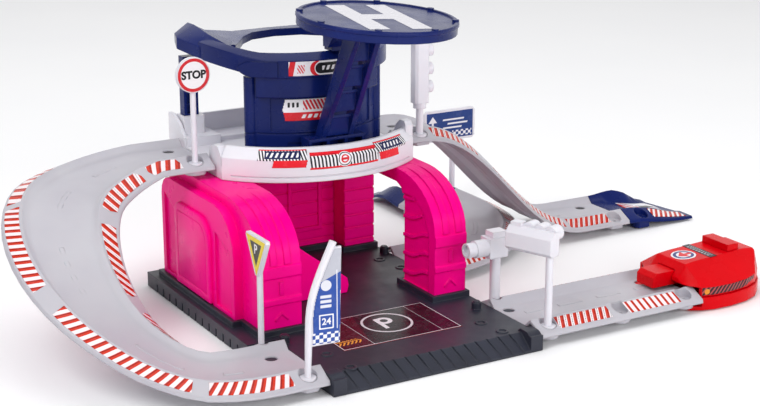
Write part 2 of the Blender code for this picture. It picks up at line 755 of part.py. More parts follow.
CURVE_OUT_X = CURVE_STRAIGHT_END + CURVE_RADIUS
BILLBOARD_SPOT = flare_spot(CURVE_OUT_X, CURVE_END_Y, math.radians(90.0))
build_flare(RIGHT_END, RIGHT_Y, 0.0, RIGHT_LOW_HOLE, "right_flare")
build_flare(CURVE_OUT_X, CURVE_END_Y, 90.0, CURVE_HIGH_HOLE, "curve_flare")


# Base plate

def base_outline():
    notch_y = LEFT_LOW_Y + TRACK_HALF + LEFT_WIDEN + GAP + 0.4
    return [
        (NOTCH_X, BASE_FRONT), (BASE_HALF_X, BASE_FRONT), (BASE_HALF_X, BASE_BACK),
        (-BASE_HALF_X, BASE_BACK), (-BASE_HALF_X, notch_y), (NOTCH_X, notch_y),
    ]


def footprint(grow=0.0):
    """Rectangles that the pink pieces stand on, grown outwards by a clearance: x0, x1, y0, y1."""
    sizes = [
        (BLOCK_LEFT, BLOCK_RIGHT, BLOCK_SIDE_FRONT, BLOCK_BACK),
        (BLOCK_SIDE, BLOCK_RIGHT, BLOCK_FRONT, BLOCK_SIDE_FRONT + 1.0),
        (PILLAR_LEFT, PILLAR_RIGHT, PILLAR_FRONT, PILLAR_BACK),
        (PILLAR_LEFT, PILLAR_RIGHT, BACK_PILLAR_FRONT, BACK_PILLAR_BACK),
        (BLOCK_RIGHT, PILLAR_LEFT, BACK_WALL_FRONT, BACK_WALL_BACK),
    ]
    return [(a - grow, b + grow, c - grow, d + grow) for a, b, c, d in sizes]


WALL_SCREWS = [
    (0.5 * (BLOCK_SIDE + BLOCK_RIGHT), BLOCK_FRONT + 12.0),
    (0.5 * (BLOCK_SIDE + BLOCK_RIGHT), BLOCK_BACK - 14.0),
    (0.5 * (PILLAR_LEFT + PILLAR_RIGHT), 0.5 * (PILLAR_FRONT + PILLAR_BACK)),
    (0.5 * (PILLAR_LEFT + PILLAR_RIGHT), 0.5 * (BACK_PILLAR_FRONT + BACK_PILLAR_BACK)),
]


def build_base():
    body = prism(base_outline(), 0.0, BASE_TOP)
    # Hollow underside with a grid of ribs and a centre pad
    inset = 3.0
    cells = []
    ribs_x = [NOTCH_X + inset, -30.0, 0.0, 30.0, BASE_HALF_X - inset]
    ribs_y = [BASE_FRONT + APRON_RUN + inset, -66.0, -33.0, 0.0, 33.0, 66.0, BASE_BACK - inset]
    for i in range(len(ribs_x) - 1):
        for j in range(len(ribs_y) - 1):
            cells.append(box(ribs_x[i] + 1.0, ribs_x[i + 1] - 1.0, ribs_y[j] + 1.0, ribs_y[j + 1] - 1.0,
                             -1.0, BASE_TOP - BASE_SKIN))
    cut(body, *cells)
    fuse(body, rod(0.0, 0.0, 9.0, 0.0, BASE_TOP - 1.0, 20))
    for x, y in WALL_SCREWS:
        fuse(body, rod(x, y, SCREW_HEAD + 2.2, 0.0, BASE_TOP - 1.0, 16))
    # Raised sockets round the feet of the pink walls
    for x0, x1, y0, y1 in footprint(GAP + SKIRT_WALL):
        fuse(body, box(max(x0, -BASE_HALF_X + 1.2), min(x1, BASE_HALF_X - 0.1), y0, y1,
                       BASE_TOP - 1.0, BASE_TOP + SKIRT_RISE))
    # Lugs beside the ends of the three tracks
    lug_x = BASE_HALF_X - LUG_SIZE
    beside = FLOOR_HALF + WALL_RUN + 0.5 * LUG_SIZE
    lugs = [(lug_x, CURVE_Y - beside), (lug_x, CURVE_Y + beside), (lug_x - LUG_SIZE, STRAIGHT_Y + beside),
            (NOTCH_X, LEFT_LOW_Y + beside + LUG_SIZE)]
    for x, y in lugs:
        lug = prism(circle(x + 0.5 * LUG_SIZE, y, 0.5 * LUG_SIZE, 12), BASE_TOP - 1.0, BASE_TOP + LUG_RISE - 0.8)
        fuse(lug, prism(circle(x + 0.5 * LUG_SIZE, y, 0.5 * LUG_SIZE - 0.8, 12), BASE_TOP, BASE_TOP + LUG_RISE))
        fuse(body, lug)
    # Drive-up apron between the corner knobs
    apron_left = NOTCH_X + KNOB_WIDTH
    apron_right = BASE_HALF_X - KNOB_WIDTH
    wedge = [(BASE_FRONT - 1.0, APRON_LIP), (BASE_FRONT, APRON_LIP), (BASE_FRONT + APRON_RUN, BASE_TOP),
             (BASE_FRONT + APRON_RUN, BASE_TOP + 5.0), (BASE_FRONT - 1.0, BASE_TOP + 5.0)]
    cut(body, prism(wedge, apron_left, apron_right, "X"))
    for x in (NOTCH_X, BASE_HALF_X - KNOB_WIDTH):
        # Rounded over its front like a roller
        crown = BASE_TOP + KNOB_RISE
        knob = [(BASE_FRONT + KNOB_LENGTH, 0.5), (BASE_FRONT + 0.8, 0.5)]
        knob += [(y, z) for y, z in circle(BASE_FRONT + 6.0, crown - 5.8, 5.8, 7, 180.0, -90.0)]
        knob += [(BASE_FRONT + KNOB_LENGTH - 3.0, crown), (BASE_FRONT + KNOB_LENGTH, BASE_TOP - 0.5)]
        fuse(body, prism(knob, x, x + KNOB_WIDTH, "X"))
    pitch = (apron_right - apron_left - GROOVE_SLANT) / GROOVE_COUNT
    grooves = []
    for i in range(GROOVE_COUNT):
        x = apron_left + pitch * (i + 0.35)
        top = [(x, BASE_FRONT + APRON_RUN + 0.6), (x + GROOVE_WIDTH, BASE_FRONT + APRON_RUN + 0.6)]
        foot = [(x + GROOVE_WIDTH + GROOVE_SLANT, BASE_FRONT - 0.6), (x + GROOVE_SLANT, BASE_FRONT - 0.6)]
        depth = 0.9
        low = [(*top[0], BASE_TOP - depth), (*top[1], BASE_TOP - depth),
               (*foot[0], APRON_LIP - depth), (*foot[1], APRON_LIP - depth)]
        high = [(a, b, c + 6.0) for a, b, c in low]
        grooves.append(solid(*loft([low, high])))
    # Notches along the left edge
    notch_count = 14
    notch_pitch = (BASE_BACK - 8.0 - (LEFT_LOW_Y + TRACK_HALF + 4.0)) / notch_count
    for i in range(notch_count):
        y = LEFT_LOW_Y + TRACK_HALF + 5.0 + notch_pitch * i
        grooves.append(box(-BASE_HALF_X - 1.0, -BASE_HALF_X + 0.9, y, y + 1.6, -1.0, 5.2))
    # Pockets for the wall feet, screw holes and counterbores
    slide_foot = (BLOCK_RIGHT, SLIDE_NOSE + GAP, SLIDE_FRONT - GAP, SLIDE_FRONT + SLIDE_WIDTH + GAP)
    for x0, x1, y0, y1 in footprint(GAP) + [slide_foot]:
        grooves.append(box(x0, x1, y0, y1, BASE_TOP, BASE_TOP + SKIRT_RISE + 1.0))
    for x, y in WALL_SCREWS:
        grooves.append(rod(x, y, SCREW_SHANK + SCREW_CLEAR, -1.0, BASE_TOP + 1.0, 12))
        grooves.append(rod(x, y, SCREW_HEAD + SCREW_CLEAR, -1.0, BASE_TOP - 4.4, 14))
    cut(body, *grooves)
    # Ring marks on the floor and the tongues that carry the tracks
    marks = [(BASE_HALF_X - 12.5, CURVE_Y + 10.2), (BASE_HALF_X - 8.5, CURVE_Y - 9.8),
             (NOTCH_X + 16.6, BASE_FRONT + 12.0), (NOTCH_X + 14.6, BASE_FRONT + 35.0),
             (BASE_HALF_X - 19.5, STRAIGHT_Y - 0.5), (BASE_HALF_X - 16.5, STRAIGHT_Y - 17.5)]
    for x, y in marks:
        mark = rod(x, y, 3.6, BASE_TOP - 0.5, BASE_TOP + 0.5, 14)
        cut(mark, rod(x, y, 2.2, BASE_TOP, BASE_TOP + 2.0, 12))
        fuse(body, mark)
    fuse(body, tongue(LEFT_LOW_HOLE, (-1.0, 0.0), LEFT_END_LOW - LEFT_LOW_HOLE[0], 2.5))
    fuse(body, tongue(CURVE_LOW_HOLE, (1.0, 0.0), CURVE_LOW_HOLE[0] - CURVE_START, 2.5))
    fuse(body, tongue(STRAIGHT_LOW_HOLE, (1.0, 0.0), STRAIGHT_LOW_HOLE[0] - STRAIGHT_START, 2.5))
    return finish(body, "base_plate", CHARCOAL)


BASE = build_base()


# Pink walls

def vault_profile(front, back, top, inset=0.0):
    """Side outline of a vaulted wall: upright front, quarter ellipse backwards, flat top, upright back."""
    steps = 9
    points = [(back - inset, FOOT_Z), (front + inset, FOOT_Z), (front + inset, VAULT_SPRING)]
    for i in range(1, steps + 1):
        angle = math.radians(90.0 * i / steps)
        y = front + inset + (VAULT_RUN - inset) * (1.0 - math.cos(angle))
        z = VAULT_SPRING + (top - inset - VAULT_SPRING) * math.sin(angle)
        points.append((y, z))
    points.append((back - inset, top - inset))
    return points


def collars(front, x0, x1):
    """Two raised bands across the upright front, and a short rib with a chevron between and under them."""
    tools = []
    for low, high in ((25.5, 30.0), (VAULT_SPRING - 8.0, VAULT_SPRING - 0.5)):
        band = [(front - BAND_STEP, low + 0.8), (front - BAND_STEP, high - 0.8), (front, high), (front + 3.0, high),
                (front + 3.0, low), (front, low)]
        tools.append(prism(band, x0, x1, "X"))
    middle = 0.5 * (x0 + x1)
    tools.append(box(middle - 1.3, middle + 1.3, front - 0.7, front + 1.0, 31.5, VAULT_SPRING - 10.0))
    chevron = [(middle - 4.0, 16.0), (middle, 20.0), (middle + 4.0, 16.0), (middle + 4.0, 17.4), (middle, 21.4),
               (middle - 4.0, 17.4)]
    tools.append(prism(chevron, front - 0.6, front + 1.0, "Y"))
    return tools


def ridge(front, x0, x1, top):
    """Raised rib that follows the vault."""
    outer = vault_profile(front, front + VAULT_RUN + 6.0, top)
    lift = 0.8
    rings = []
    for x in (x0, x1):
        ring = []
        for index, (y, z) in enumerate(outer[2:-1]):
            angle = math.radians(90.0 * index / (len(outer[2:-1]) - 1))
            ring.append((x, y - lift * math.cos(angle), min(z + lift * math.sin(angle), WALL_TOP)))
        for index, (y, z) in reversed(list(enumerate(outer[2:-1]))):
            angle = math.radians(90.0 * index / (len(outer[2:-1]) - 1))
            ring.append((x, y + 1.0 * math.cos(angle), z - 1.6 * math.sin(angle) - 0.2))
        rings.append(ring)
    return solid(*loft(rings))


def screw_bore(x, y):
    return rod(x, y, SCREW_SHANK + SCREW_CLEAR, FOOT_Z - 1.0, FOOT_Z + SCREW_LENGTH + 1.0, 12)


def build_left_block():
    body = prism(vault_profile(BLOCK_FRONT, BLOCK_BACK, WALL_TOP), BLOCK_SIDE, BLOCK_RIGHT, "X")
    corner = BLOCK_CORNER
    back_corner = 0.46 * BLOCK_CORNER
    side = [(BLOCK_BACK, FOOT_Z), (BLOCK_SIDE_FRONT, FOOT_Z), (BLOCK_SIDE_FRONT, BLOCK_RIM - corner)]
    side += circle(BLOCK_SIDE_FRONT + corner, BLOCK_RIM - corner, corner, 7, 180.0, -90.0)[1:]
    side += circle(BLOCK_BACK - back_corner, BLOCK_RIM - back_corner, back_corner, 5, 90.0, -90.0)
    fuse(body, prism(side, BLOCK_LEFT, BLOCK_SIDE + 1.0, "X"))
    # Panels on the outer face
    panels = []
    for y0, y1, z1, depth in ((-6.0, 15.0, 58.0, 1.4), (72.0, 88.0, 64.0, 1.4)):
        outline = [(y0, FOOT_Z + 5.0), (y1, FOOT_Z + 5.0), (y1, z1), (y0, z1 - 8.0)]
        panels.append(prism(outline, BLOCK_LEFT - 1.0, BLOCK_LEFT + depth, "X"))
    outer = [(21.0, FOOT_Z - 1.0), (68.0, FOOT_Z - 1.0), (68.0, 62.0), (36.0, 62.0), (25.0, 58.0), (21.0, 48.0)]
    inner = [(23.0, FOOT_Z - 2.0), (66.0, FOOT_Z - 2.0), (66.0, 60.0), (36.5, 60.0), (26.5, 56.5), (23.0, 47.5)]
    frame = prism(outer, BLOCK_LEFT - 1.0, BLOCK_LEFT + 1.0, "X")
    cut(frame, prism(inner, BLOCK_LEFT - 2.0, BLOCK_LEFT + 2.0, "X"))
    panels.append(frame)
    for x, y in WALL_SCREWS[:2]:
        panels.append(screw_bore(x, y))
    cut(body, *panels)
    for share in (0.24, 0.58):
        x = BLOCK_SIDE + share * BLOCK_WIDTH
        fuse(body, ridge(BLOCK_FRONT, x, x + 0.16 * BLOCK_WIDTH, WALL_TOP))
    fuse(body, *collars(BLOCK_FRONT, BLOCK_SIDE, BLOCK_RIGHT))
    return finish(body, "left_wall_block", PINK)


def build_front_pillar():
    run_on = LINTEL_BEND + LINTEL_WIDTH
    body = prism(vault_profile(PILLAR_FRONT, PILLAR_BACK + run_on, WALL_TOP), PILLAR_LEFT, PILLAR_RIGHT, "X")
    # Behind the foot only the lintel runs on to the back pillar
    under = [(PILLAR_BACK, FOOT_Z - 1.0), (PILLAR_BACK, LINTEL_BOTTOM - 8.0), (PILLAR_BACK + 2.4, LINTEL_BOTTOM - 2.4),
             (PILLAR_BACK + 8.0, LINTEL_BOTTOM), (PILLAR_BACK + 2.0 * run_on, LINTEL_BOTTOM),
             (PILLAR_BACK + 2.0 * run_on, FOOT_Z - 1.0)]
    cut(body, prism(under, PILLAR_LEFT - 1.0, PILLAR_RIGHT + 1.0, "X"))
    fuse(body, box(PILLAR_LEFT, PILLAR_LEFT + LINTEL_WIDTH, PILLAR_BACK + LINTEL_BEND, BACK_PILLAR_FRONT - GAP,
                   LINTEL_BOTTOM, WALL_TOP))
    # Shallow recess on the inner side, crossed by wavy shelves
    y0, y1 = PILLAR_FRONT + 7.0, PILLAR_BACK + 1.0
    recess = [(y0, FOOT_Z + 3.0), (y1, FOOT_Z + 3.0), (y1, 66.0), (y0 + 15.0, 66.0), (y0 + 5.0, 58.0), (y0, 47.0)]
    cut(body, prism(recess, PILLAR_LEFT - 1.0, PILLAR_LEFT + RIB_DEPTH, "X"), screw_bore(*WALL_SCREWS[2]))
    for i in range(5):
        z = 15.5 + SHELF_PITCH * i
        run = (y1 - y0 - 1.5) / 7.0
        first = 0 if i < 3 else 2 * (i - 2)
        wave = [(y0 + 0.5 + run * k, z + 0.25 * run * (7 - k) + 0.9 * math.sin(1.1 * k)) for k in range(first, 8)]
        strip = wave + [(y, h + 2.0) for y, h in reversed(wave)]
        fuse(body, prism(strip, PILLAR_LEFT, PILLAR_LEFT + RIB_DEPTH + 0.6, "X"))
    for share in (0.256, 0.651):
        x = PILLAR_LEFT + share * PILLAR_WIDTH
        fuse(body, ridge(PILLAR_FRONT, x, x + 0.186 * PILLAR_WIDTH, WALL_TOP))
    fuse(body, *collars(PILLAR_FRONT, PILLAR_LEFT, PILLAR_RIGHT))
    return finish(body, "front_right_pillar", PINK)


def build_back_pillar():
    body = box(PILLAR_LEFT, PILLAR_RIGHT, BACK_PILLAR_FRONT, BACK_PILLAR_BACK, FOOT_Z, WALL_TOP)
    tools = [screw_bore(*WALL_SCREWS[3])]
    for i in range(8):
        z = RIB_START + RIB_PITCH * i
        tools.append(box(PILLAR_LEFT - 1.0, PILLAR_RIGHT + 1.0, BACK_PILLAR_FRONT - 1.0,
                         BACK_PILLAR_FRONT + RIB_DEPTH, z, z + 1.4))
    cut(body, *tools)
    return finish(body, "back_right_pillar", PINK)


def build_back_wall():
    body = box(BLOCK_RIGHT + GAP, PILLAR_LEFT - GAP, BACK_WALL_FRONT, BACK_WALL_BACK, FOOT_Z, WALL_TOP)
    tools = []
    for i in range(8):
        z = RIB_START + RIB_PITCH * i
        tools.append(box(BLOCK_RIGHT - 1.0, PILLAR_LEFT + 1.0, BACK_WALL_FRONT - 1.0,
                         BACK_WALL_FRONT + RIB_DEPTH, z, z + 1.4))
    cut(body, *tools)
    frame = box(18.0, 42.0, BACK_WALL_FRONT - 1.0, BACK_WALL_FRONT + 1.5, 22.0, 62.0)
    cut(frame, box(20.5, 39.5, BACK_WALL_FRONT - 2.0, BACK_WALL_FRONT + 2.0, 24.5, 59.5))
    fuse(body, frame)
    return finish(body, "back_wall", PINK)


def build_slide():
    """Sloping slide with rounded nose and side lips, open underneath."""
    x0 = BLOCK_RIGHT + GAP
    y0 = SLIDE_FRONT
    y1 = SLIDE_FRONT + SLIDE_WIDTH
    steps = 7
    top = [(x0, SLIDE_START_HEIGHT)]
    for i in range(1, steps + 1):
        t = i / steps
        x = x0 + (SLIDE_NOSE - 4.0 - x0) * t
        z = SLIDE_START_HEIGHT + (SLIDE_NOSE_HEIGHT - SLIDE_START_HEIGHT) * (t ** 0.85)
        top.append((x, z))
    nose = [(SLIDE_NOSE - 0.8, SLIDE_NOSE_HEIGHT - 2.5), (SLIDE_NOSE, SLIDE_NOSE_HEIGHT - 7.0), (SLIDE_NOSE - 1.0, FOOT_Z)]
    body = prism([(x0, FOOT_Z)] + top + nose, y0, y1, "Y")
    hollow = [(x0 - 1.0, FOOT_Z - 1.0), (x0 - 1.0, SLIDE_START_HEIGHT - 4.0)]
    hollow += [(x - 1.0, z - 4.0) for x, z in top[1:]]
    hollow += [(SLIDE_NOSE - 4.5, FOOT_Z - 1.0)]
    cut(body, prism(hollow, y0 + WALL, y1 - WALL, "Y"))
    channel = [(x0 - 1.0, SLIDE_START_HEIGHT + 9.0), (x0 - 1.0, SLIDE_START_HEIGHT - 1.6)]
    channel += [(x, z - 1.6) for x, z in top[1:]]
    channel += [(SLIDE_NOSE + 4.0, SLIDE_NOSE_HEIGHT - 4.5), (SLIDE_NOSE + 4.0, SLIDE_START_HEIGHT + 9.0)]
    cut(body, prism(channel, y0 + WALL, y1 - WALL, "Y"))
    return finish(body, "garage_slide", PINK)


build_left_block()
build_front_pillar()
build_back_pillar()
build_back_wall()
build_slide()


# Deck

def fascia_angle(x):
    """Angle of the point on the fascia's circle at a given x, on the front side."""
    return -math.degrees(math.acos((x - TOWER_X) / FASCIA_RADIUS))


def deck_outline(inset=0.0):
    """Plan of the deck: front arc, straight sides, straight back."""
    left = DECK_LEFT + inset
    right = DECK_RIGHT - inset
    radius = FASCIA_RADIUS - inset
    start = -math.degrees(math.acos((left - TOWER_X) / radius))
    end = -math.degrees(math.acos((right - TOWER_X) / radius))
    steps = 20
    points = []
    for i in range(steps + 1):
        angle = math.radians(start + (end - start) * i / steps)
        points.append((TOWER_X + radius * math.cos(angle), TOWER_Y + radius * math.sin(angle)))
    return points + [(right, DECK_BACK - inset), (left, DECK_BACK - inset)]


def build_deck():
    body = prism(deck_outline(), FASCIA_FOOT, DECK_TOP)
    cut(body, prism(deck_outline(WALL), FASCIA_FOOT - 1.0, DECK_UNDER))
    lean = FASCIA_RADIUS - FASCIA_LEAN
    section = [
        (FASCIA_RADIUS, DECK_TOP - 1.0), (FASCIA_RADIUS, FASCIA_BEND), (lean, FASCIA_TOP),
        (lean - WALL, FASCIA_TOP), (FASCIA_RADIUS - WALL, FASCIA_BEND - 1.0), (FASCIA_RADIUS - WALL, DECK_TOP - 1.0),
    ]
    start = fascia_angle(DECK_LEFT)
    end = fascia_angle(DECK_RIGHT)
    fuse(body, arc_band(section, start, end, 20))
    # The parapet's left end turns the corner as a block with a rounded shoulder
    left_y = TOWER_Y - math.sqrt(FASCIA_RADIUS ** 2 - (DECK_LEFT - TOWER_X) ** 2)
    jaw_back = left_y + JAW_LENGTH
    jaw = [(left_y + 0.6, DECK_TOP - 1.0), (left_y + 0.6, FASCIA_BEND), (left_y + 5.0, FASCIA_TOP - 0.7),
           (jaw_back - 5.5, FASCIA_TOP - 0.7), (jaw_back - 2.0, FASCIA_TOP - 2.8), (jaw_back, FASCIA_BEND - 1.0),
           (jaw_back, DECK_TOP - 1.0)]
    fuse(body, prism(jaw, DECK_LEFT, DECK_LEFT + HORN_WIDTH, "X"))
    # Its right end rises into a horn
    right_y = TOWER_Y - math.sqrt(FASCIA_RADIUS ** 2 - (DECK_RIGHT - TOWER_X) ** 2)
    crest = DECK_TOP + HORN_RISE
    horn = [(right_y + 0.6, DECK_TOP - 1.0), (right_y + 0.6, crest - 2.5), (right_y + 2.6, crest),
            (right_y + 7.5, crest), (right_y + 12.5, crest - 4.0), (right_y + 16.0, FASCIA_BEND),
            (right_y + 16.0, DECK_TOP - 1.0)]
    fuse(body, prism(horn, DECK_RIGHT - HORN_WIDTH, DECK_RIGHT, "X"))
    # Back wall, left shoulder, right end wall
    fuse(body, box(DECK_LEFT, DECK_RIGHT, DECK_BACK - WALL, DECK_BACK, DECK_TOP - 1.0, DECK_BACK_WALL))
    ramp_edge = LEFT_HIGH_Y + FLOOR_HALF
    shoulder = [(DECK_BACK, DECK_TOP - 1.0), (DECK_BACK, SHOULDER_TOP), (DECK_BACK - 6.0, SHOULDER_TOP),
                (DECK_BACK - 15.0, SHOULDER_TOP - 4.0), (ramp_edge + 3.0, DECK_TOP + PLATFORM_RISE),
                (ramp_edge, DECK_TOP - 1.0)]
    fuse(body, prism(shoulder, DECK_LEFT, DECK_LEFT + WALL, "X"))
    # Raised platform behind the road, in two steps
    platform_front = ramp_edge - 1.0
    fuse(body, box(DECK_LEFT + 0.5, DECK_LEFT + PLATFORM_LENGTH, platform_front, DECK_BACK - 1.0,
                   DECK_TOP - 1.0, DECK_TOP + PLATFORM_RISE))
    fuse(body, box(DECK_LEFT + PLATFORM_LENGTH - 1.0, DECK_RIGHT, RIGHT_Y + FLOOR_HALF + KERB_RUN,
                   DECK_BACK - 1.0, DECK_TOP - 1.0, DECK_TOP + 0.5 * PLATFORM_RISE))
    # Socket of the back left post
    hug = WALL + GAP
    fuse(body, box(POST_X - 0.5 * POST_WIDTH - hug + 1.1, POST_X + 0.5 * POST_WIDTH + hug,
                   POST_Y - 0.5 * POST_DEPTH - hug, POST_Y + 0.5 * POST_DEPTH + hug, DECK_TOP, SHOULDER_TOP))
    tools = [box(POST_X - 0.5 * POST_WIDTH - GAP, POST_X + 0.5 * POST_WIDTH + GAP,
                 POST_Y - 0.5 * POST_DEPTH - GAP, POST_Y + 0.5 * POST_DEPTH + GAP,
                 DECK_TOP + PLATFORM_RISE, SHOULDER_TOP + 2.0)]
    # Fine groove near the foot of the fascia
    groove = [(FASCIA_RADIUS - 0.5, FASCIA_FOOT + 2.6), (FASCIA_RADIUS + 1.0, FASCIA_FOOT + 2.6),
              (FASCIA_RADIUS + 1.0, FASCIA_FOOT + 3.3), (FASCIA_RADIUS - 0.5, FASCIA_FOOT + 3.3)]
    tools.append(arc_band(groove, start + 4.0, end - 4.0, 20))
    # Two small drain holes beside the ramp's end
    for x in (DECK_LEFT + 8.4, DECK_LEFT + 13.4):
        tools.append(rod(x, left_y + 0.7 * JAW_LENGTH, 1.7, DECK_UNDER - 1.0, DECK_TOP + 1.0, 12))
    cut(body, *tools)
    fuse(body, tongue(LEFT_HIGH_HOLE, (-1.0, 0.0), LEFT_END_HIGH - LEFT_HIGH_HOLE[0], 2.5))
    fuse(body, tongue(RIGHT_HIGH_HOLE, (1.0, 0.0), RIGHT_HIGH_HOLE[0] - RIGHT_START, 2.5))
    return finish(body, "deck", WHITE)


build_deck()


# Tower

def canopy_rise(x):
    """How much the ring lifts towards its left tip."""
    if x >= CANOPY_START:
        return 0.0
    return CANOPY_RISE * ((CANOPY_START - x) / (CANOPY_START - CANOPY_TIP)) ** 1.2


def build_facade():
    z0 = DECK_TOP + GAP
    z1 = RING_BOTTOM - GAP
    section = [(FACADE_RADIUS, z0), (FACADE_RADIUS, z1), (FACADE_INNER, z1), (FACADE_INNER, z0)]
    body = arc_band(section, COLUMN_LEFT_DEG, COLUMN_RIGHT_DEG, 18)
    for degrees in (COLUMN_LEFT_DEG, COLUMN_RIGHT_DEG):
        angle = math.radians(degrees)
        x = TOWER_X + (FACADE_RADIUS - 1.2) * math.cos(angle)
        y = TOWER_Y + (FACADE_RADIUS - 1.2) * math.sin(angle)
        column = rod(x, y, COLUMN_RADIUS, z0, z1, 20)
        belt = DECK_TOP + FACADE_BELT
        ring = rod(x, y, COLUMN_RADIUS + 2.0, belt - 0.4, belt + 0.4, 20)
        cut(ring, rod(x, y, COLUMN_RADIUS - 0.5, belt - 2.0, belt + 2.0, 20))
        cut(column, ring)
        fuse(body, column)
    # A belt groove, a wide recess over it and a shallow step under it
    def sunk(depth, low, high):
        return [(FACADE_RADIUS - depth, low), (FACADE_RADIUS + 2.0, low), (FACADE_RADIUS + 2.0, high),
                (FACADE_RADIUS - depth, high)]
    cut(body, arc_band(sunk(0.9, belt + 1.5, VISOR_BOTTOM - 1.0), -126.0, -58.0, 14),
        arc_band(sunk(0.6, DECK_TOP + 3.0, belt - 5.5), -116.0, -92.0, 6),
        arc_band(sunk(0.5, belt - 0.35, belt + 0.35), COLUMN_LEFT_DEG + 4.5, COLUMN_RIGHT_DEG - 4.5, 16))
    return finish(body, "tower_facade", NAVY)


def ring_path():
    """Inner and outer plan points of the band across the back, left to right."""
    shares = [((-0.740, -0.420), (-0.994, -0.153)), ((-0.640, -0.250), (-1.097, 0.161)),
              ((-0.530, -0.080), (-1.016, 0.403)), ((-0.420, 0.090), (-0.726, 0.500)),
              ((-0.242, 0.258), (-0.355, 0.548)), ((0.032, 0.315), (0.032, 0.565))]
    left = [[(TOWER_X + u * RING_RADIUS, TOWER_Y + v * RING_RADIUS) for u, v in pair] for pair in shares]
    mirror = 2.0 * left[-1][0][0]
    right = [((mirror - a[0], a[1]), (mirror - b[0], b[1])) for a, b in reversed(left[:-1])]
    return left + right


def build_ring():
    lean = RING_RADIUS - RING_LEAN
    section = [
        (RING_RADIUS, RING_BOTTOM), (RING_RADIUS, RING_BEND), (lean, RING_TOP), (lean - 2.0, RING_TOP),
        (lean - 2.0, RING_TOP - RING_SKIN), (lean + 0.4, RING_TOP - RING_SKIN),
        (RING_RADIUS - RING_SKIN, RING_BEND - 1.4), (RING_RADIUS - RING_SKIN, RING_BOTTOM),
    ]
    body = arc_band(section, -173.0, -2.0, 34, canopy_rise)
    rings = []
    spans = ring_path()
    for index, (inner, outer) in enumerate(spans):
        share = index / (len(spans) - 1)
        left_share = 1.0 - smoothstep(share / 0.42)
        skirt = BACK_BAND_DEPTH + (RING_TOP - RING_BOTTOM - BACK_BAND_DEPTH) * left_share
        inner_lift = canopy_rise(inner[0])
        outer_lift = canopy_rise(outer[0])

        def between(part):
            return (outer[0] + part * (inner[0] - outer[0]), outer[1] + part * (inner[1] - outer[1]))
        # The outer face leans in above the bend, most at the left tip
        bend = RING_TOP - 1.0 - 0.5 * (skirt - BACK_BAND_DEPTH)
        lean_in = left_share * (RING_LEAN + CANOPY_LEAN * min(index, 1))
        crest = (between(0.1)[0] + lean_in, between(0.1 - 0.1 * left_share)[1] + 0.4 * lean_in)
        rings.append([
            (*inner, RING_TOP + RING_LIP + inner_lift), (*between(0.9), RING_TOP + RING_LIP + inner_lift),
            (*between(0.86), RING_TOP + inner_lift), (*crest, RING_TOP + CANOPY_CREST * left_share * (1.0 - left_share) + outer_lift),
            (*outer, bend + outer_lift), (*outer, RING_TOP - skirt + outer_lift),
            (*between(0.1), RING_TOP - skirt + outer_lift),
            (*between(0.1 + 0.1 * left_share), bend - 2.0 + outer_lift),
            (*between(0.2 + 0.2 * left_share), RING_TOP - BACK_BAND_DEPTH + 0.5 * (inner_lift + outer_lift)),
            (*inner, RING_TOP - BACK_BAND_DEPTH + inner_lift),
        ])
    fuse(body, solid(*loft(rings)))
    visor = [(FACADE_RADIUS + GAP, VISOR_BOTTOM + 2.0), (FACADE_RADIUS + GAP, RING_BOTTOM + 1.0),
             (RING_RADIUS - 0.8, RING_BOTTOM + 1.0), (RING_RADIUS - 0.8, VISOR_BOTTOM)]
    shelf = [(FACADE_RADIUS + GAP, RING_BOTTOM + 0.1), (FACADE_RADIUS + GAP, RING_BOTTOM + 1.6),
             (RING_RADIUS - 1.0, RING_BOTTOM + 1.6), (RING_RADIUS - 1.0, RING_BOTTOM + 0.1)]
    fuse(body, arc_band(visor, -133.5, -52.6, 16), arc_band(shelf, -136.0, -47.5, 16))
    # Raised tile whose left end runs to a point
    tile = []
    middle = 0.5 * (RING_BOTTOM + RING_BEND)
    for step in range(7):
        spread = 0.5 * (RING_UPRIGHT - 0.8) * min(0.25 + 0.75 * step / 1.5, 1.0)
        angle = math.radians(TILE_LEFT_DEG + (TILE_RIGHT_DEG - TILE_LEFT_DEG) * step / 6.0)
        ring = []
        for radius, z in ((RING_RADIUS - 1.0, middle - spread), (RING_RADIUS + 0.9, middle - spread),
                          (RING_RADIUS + 0.9, middle + spread), (RING_RADIUS - 1.0, middle + spread)):
            ring.append((TOWER_X + radius * math.cos(angle), TOWER_Y + radius * math.sin(angle), z))
        tile.append(ring)
    fuse(body, solid(*loft(tile)))
    return finish(body, "ring_roof", NAVY)


def build_post():
    z0 = DECK_TOP + PLATFORM_RISE + GAP
    z1 = RING_BOTTOM + canopy_rise(POST_X - 0.5 * POST_WIDTH) - 3.0
    half_x = 0.5 * POST_WIDTH
    half_y = 0.5 * POST_DEPTH
    body = box(POST_X - half_x, POST_X + half_x, POST_Y - half_y, POST_Y + half_y, z0, z1)
    tools = [box(POST_X - half_x + POST_WALL, POST_X + half_x - POST_WALL, POST_Y - half_y - 1.0,
                 POST_Y + half_y - POST_WALL, SHOULDER_TOP + 1.0, z1 - 3.0)]
    cut(body, *tools)
    for i in range(4):
        z = SHOULDER_TOP + 6.0 + 7.0 * i
        fuse(body, box(POST_X - half_x + 1.0, POST_X + half_x - 1.0, POST_Y - half_y + 1.6,
                       POST_Y + half_y - 1.0, z, z + 1.4))
    return finish(body, "back_left_post", NAVY)


build_facade()
build_ring()
build_post()


# Helipad

def pad_turn():
    """Small roll and nod of the landing disc, as it sits on its strut and clip."""
    view = Vector((0.5, 0.866, 0.0)).normalized()
    side = Vector((0.866, -0.5, 0.0)).normalized()
    roll = Matrix.Rotation(math.radians(PAD_ROLL_DEG), 4, view)
    nod = Matrix.Rotation(math.radians(PAD_NOD_DEG), 4, side)
    return roll @ nod


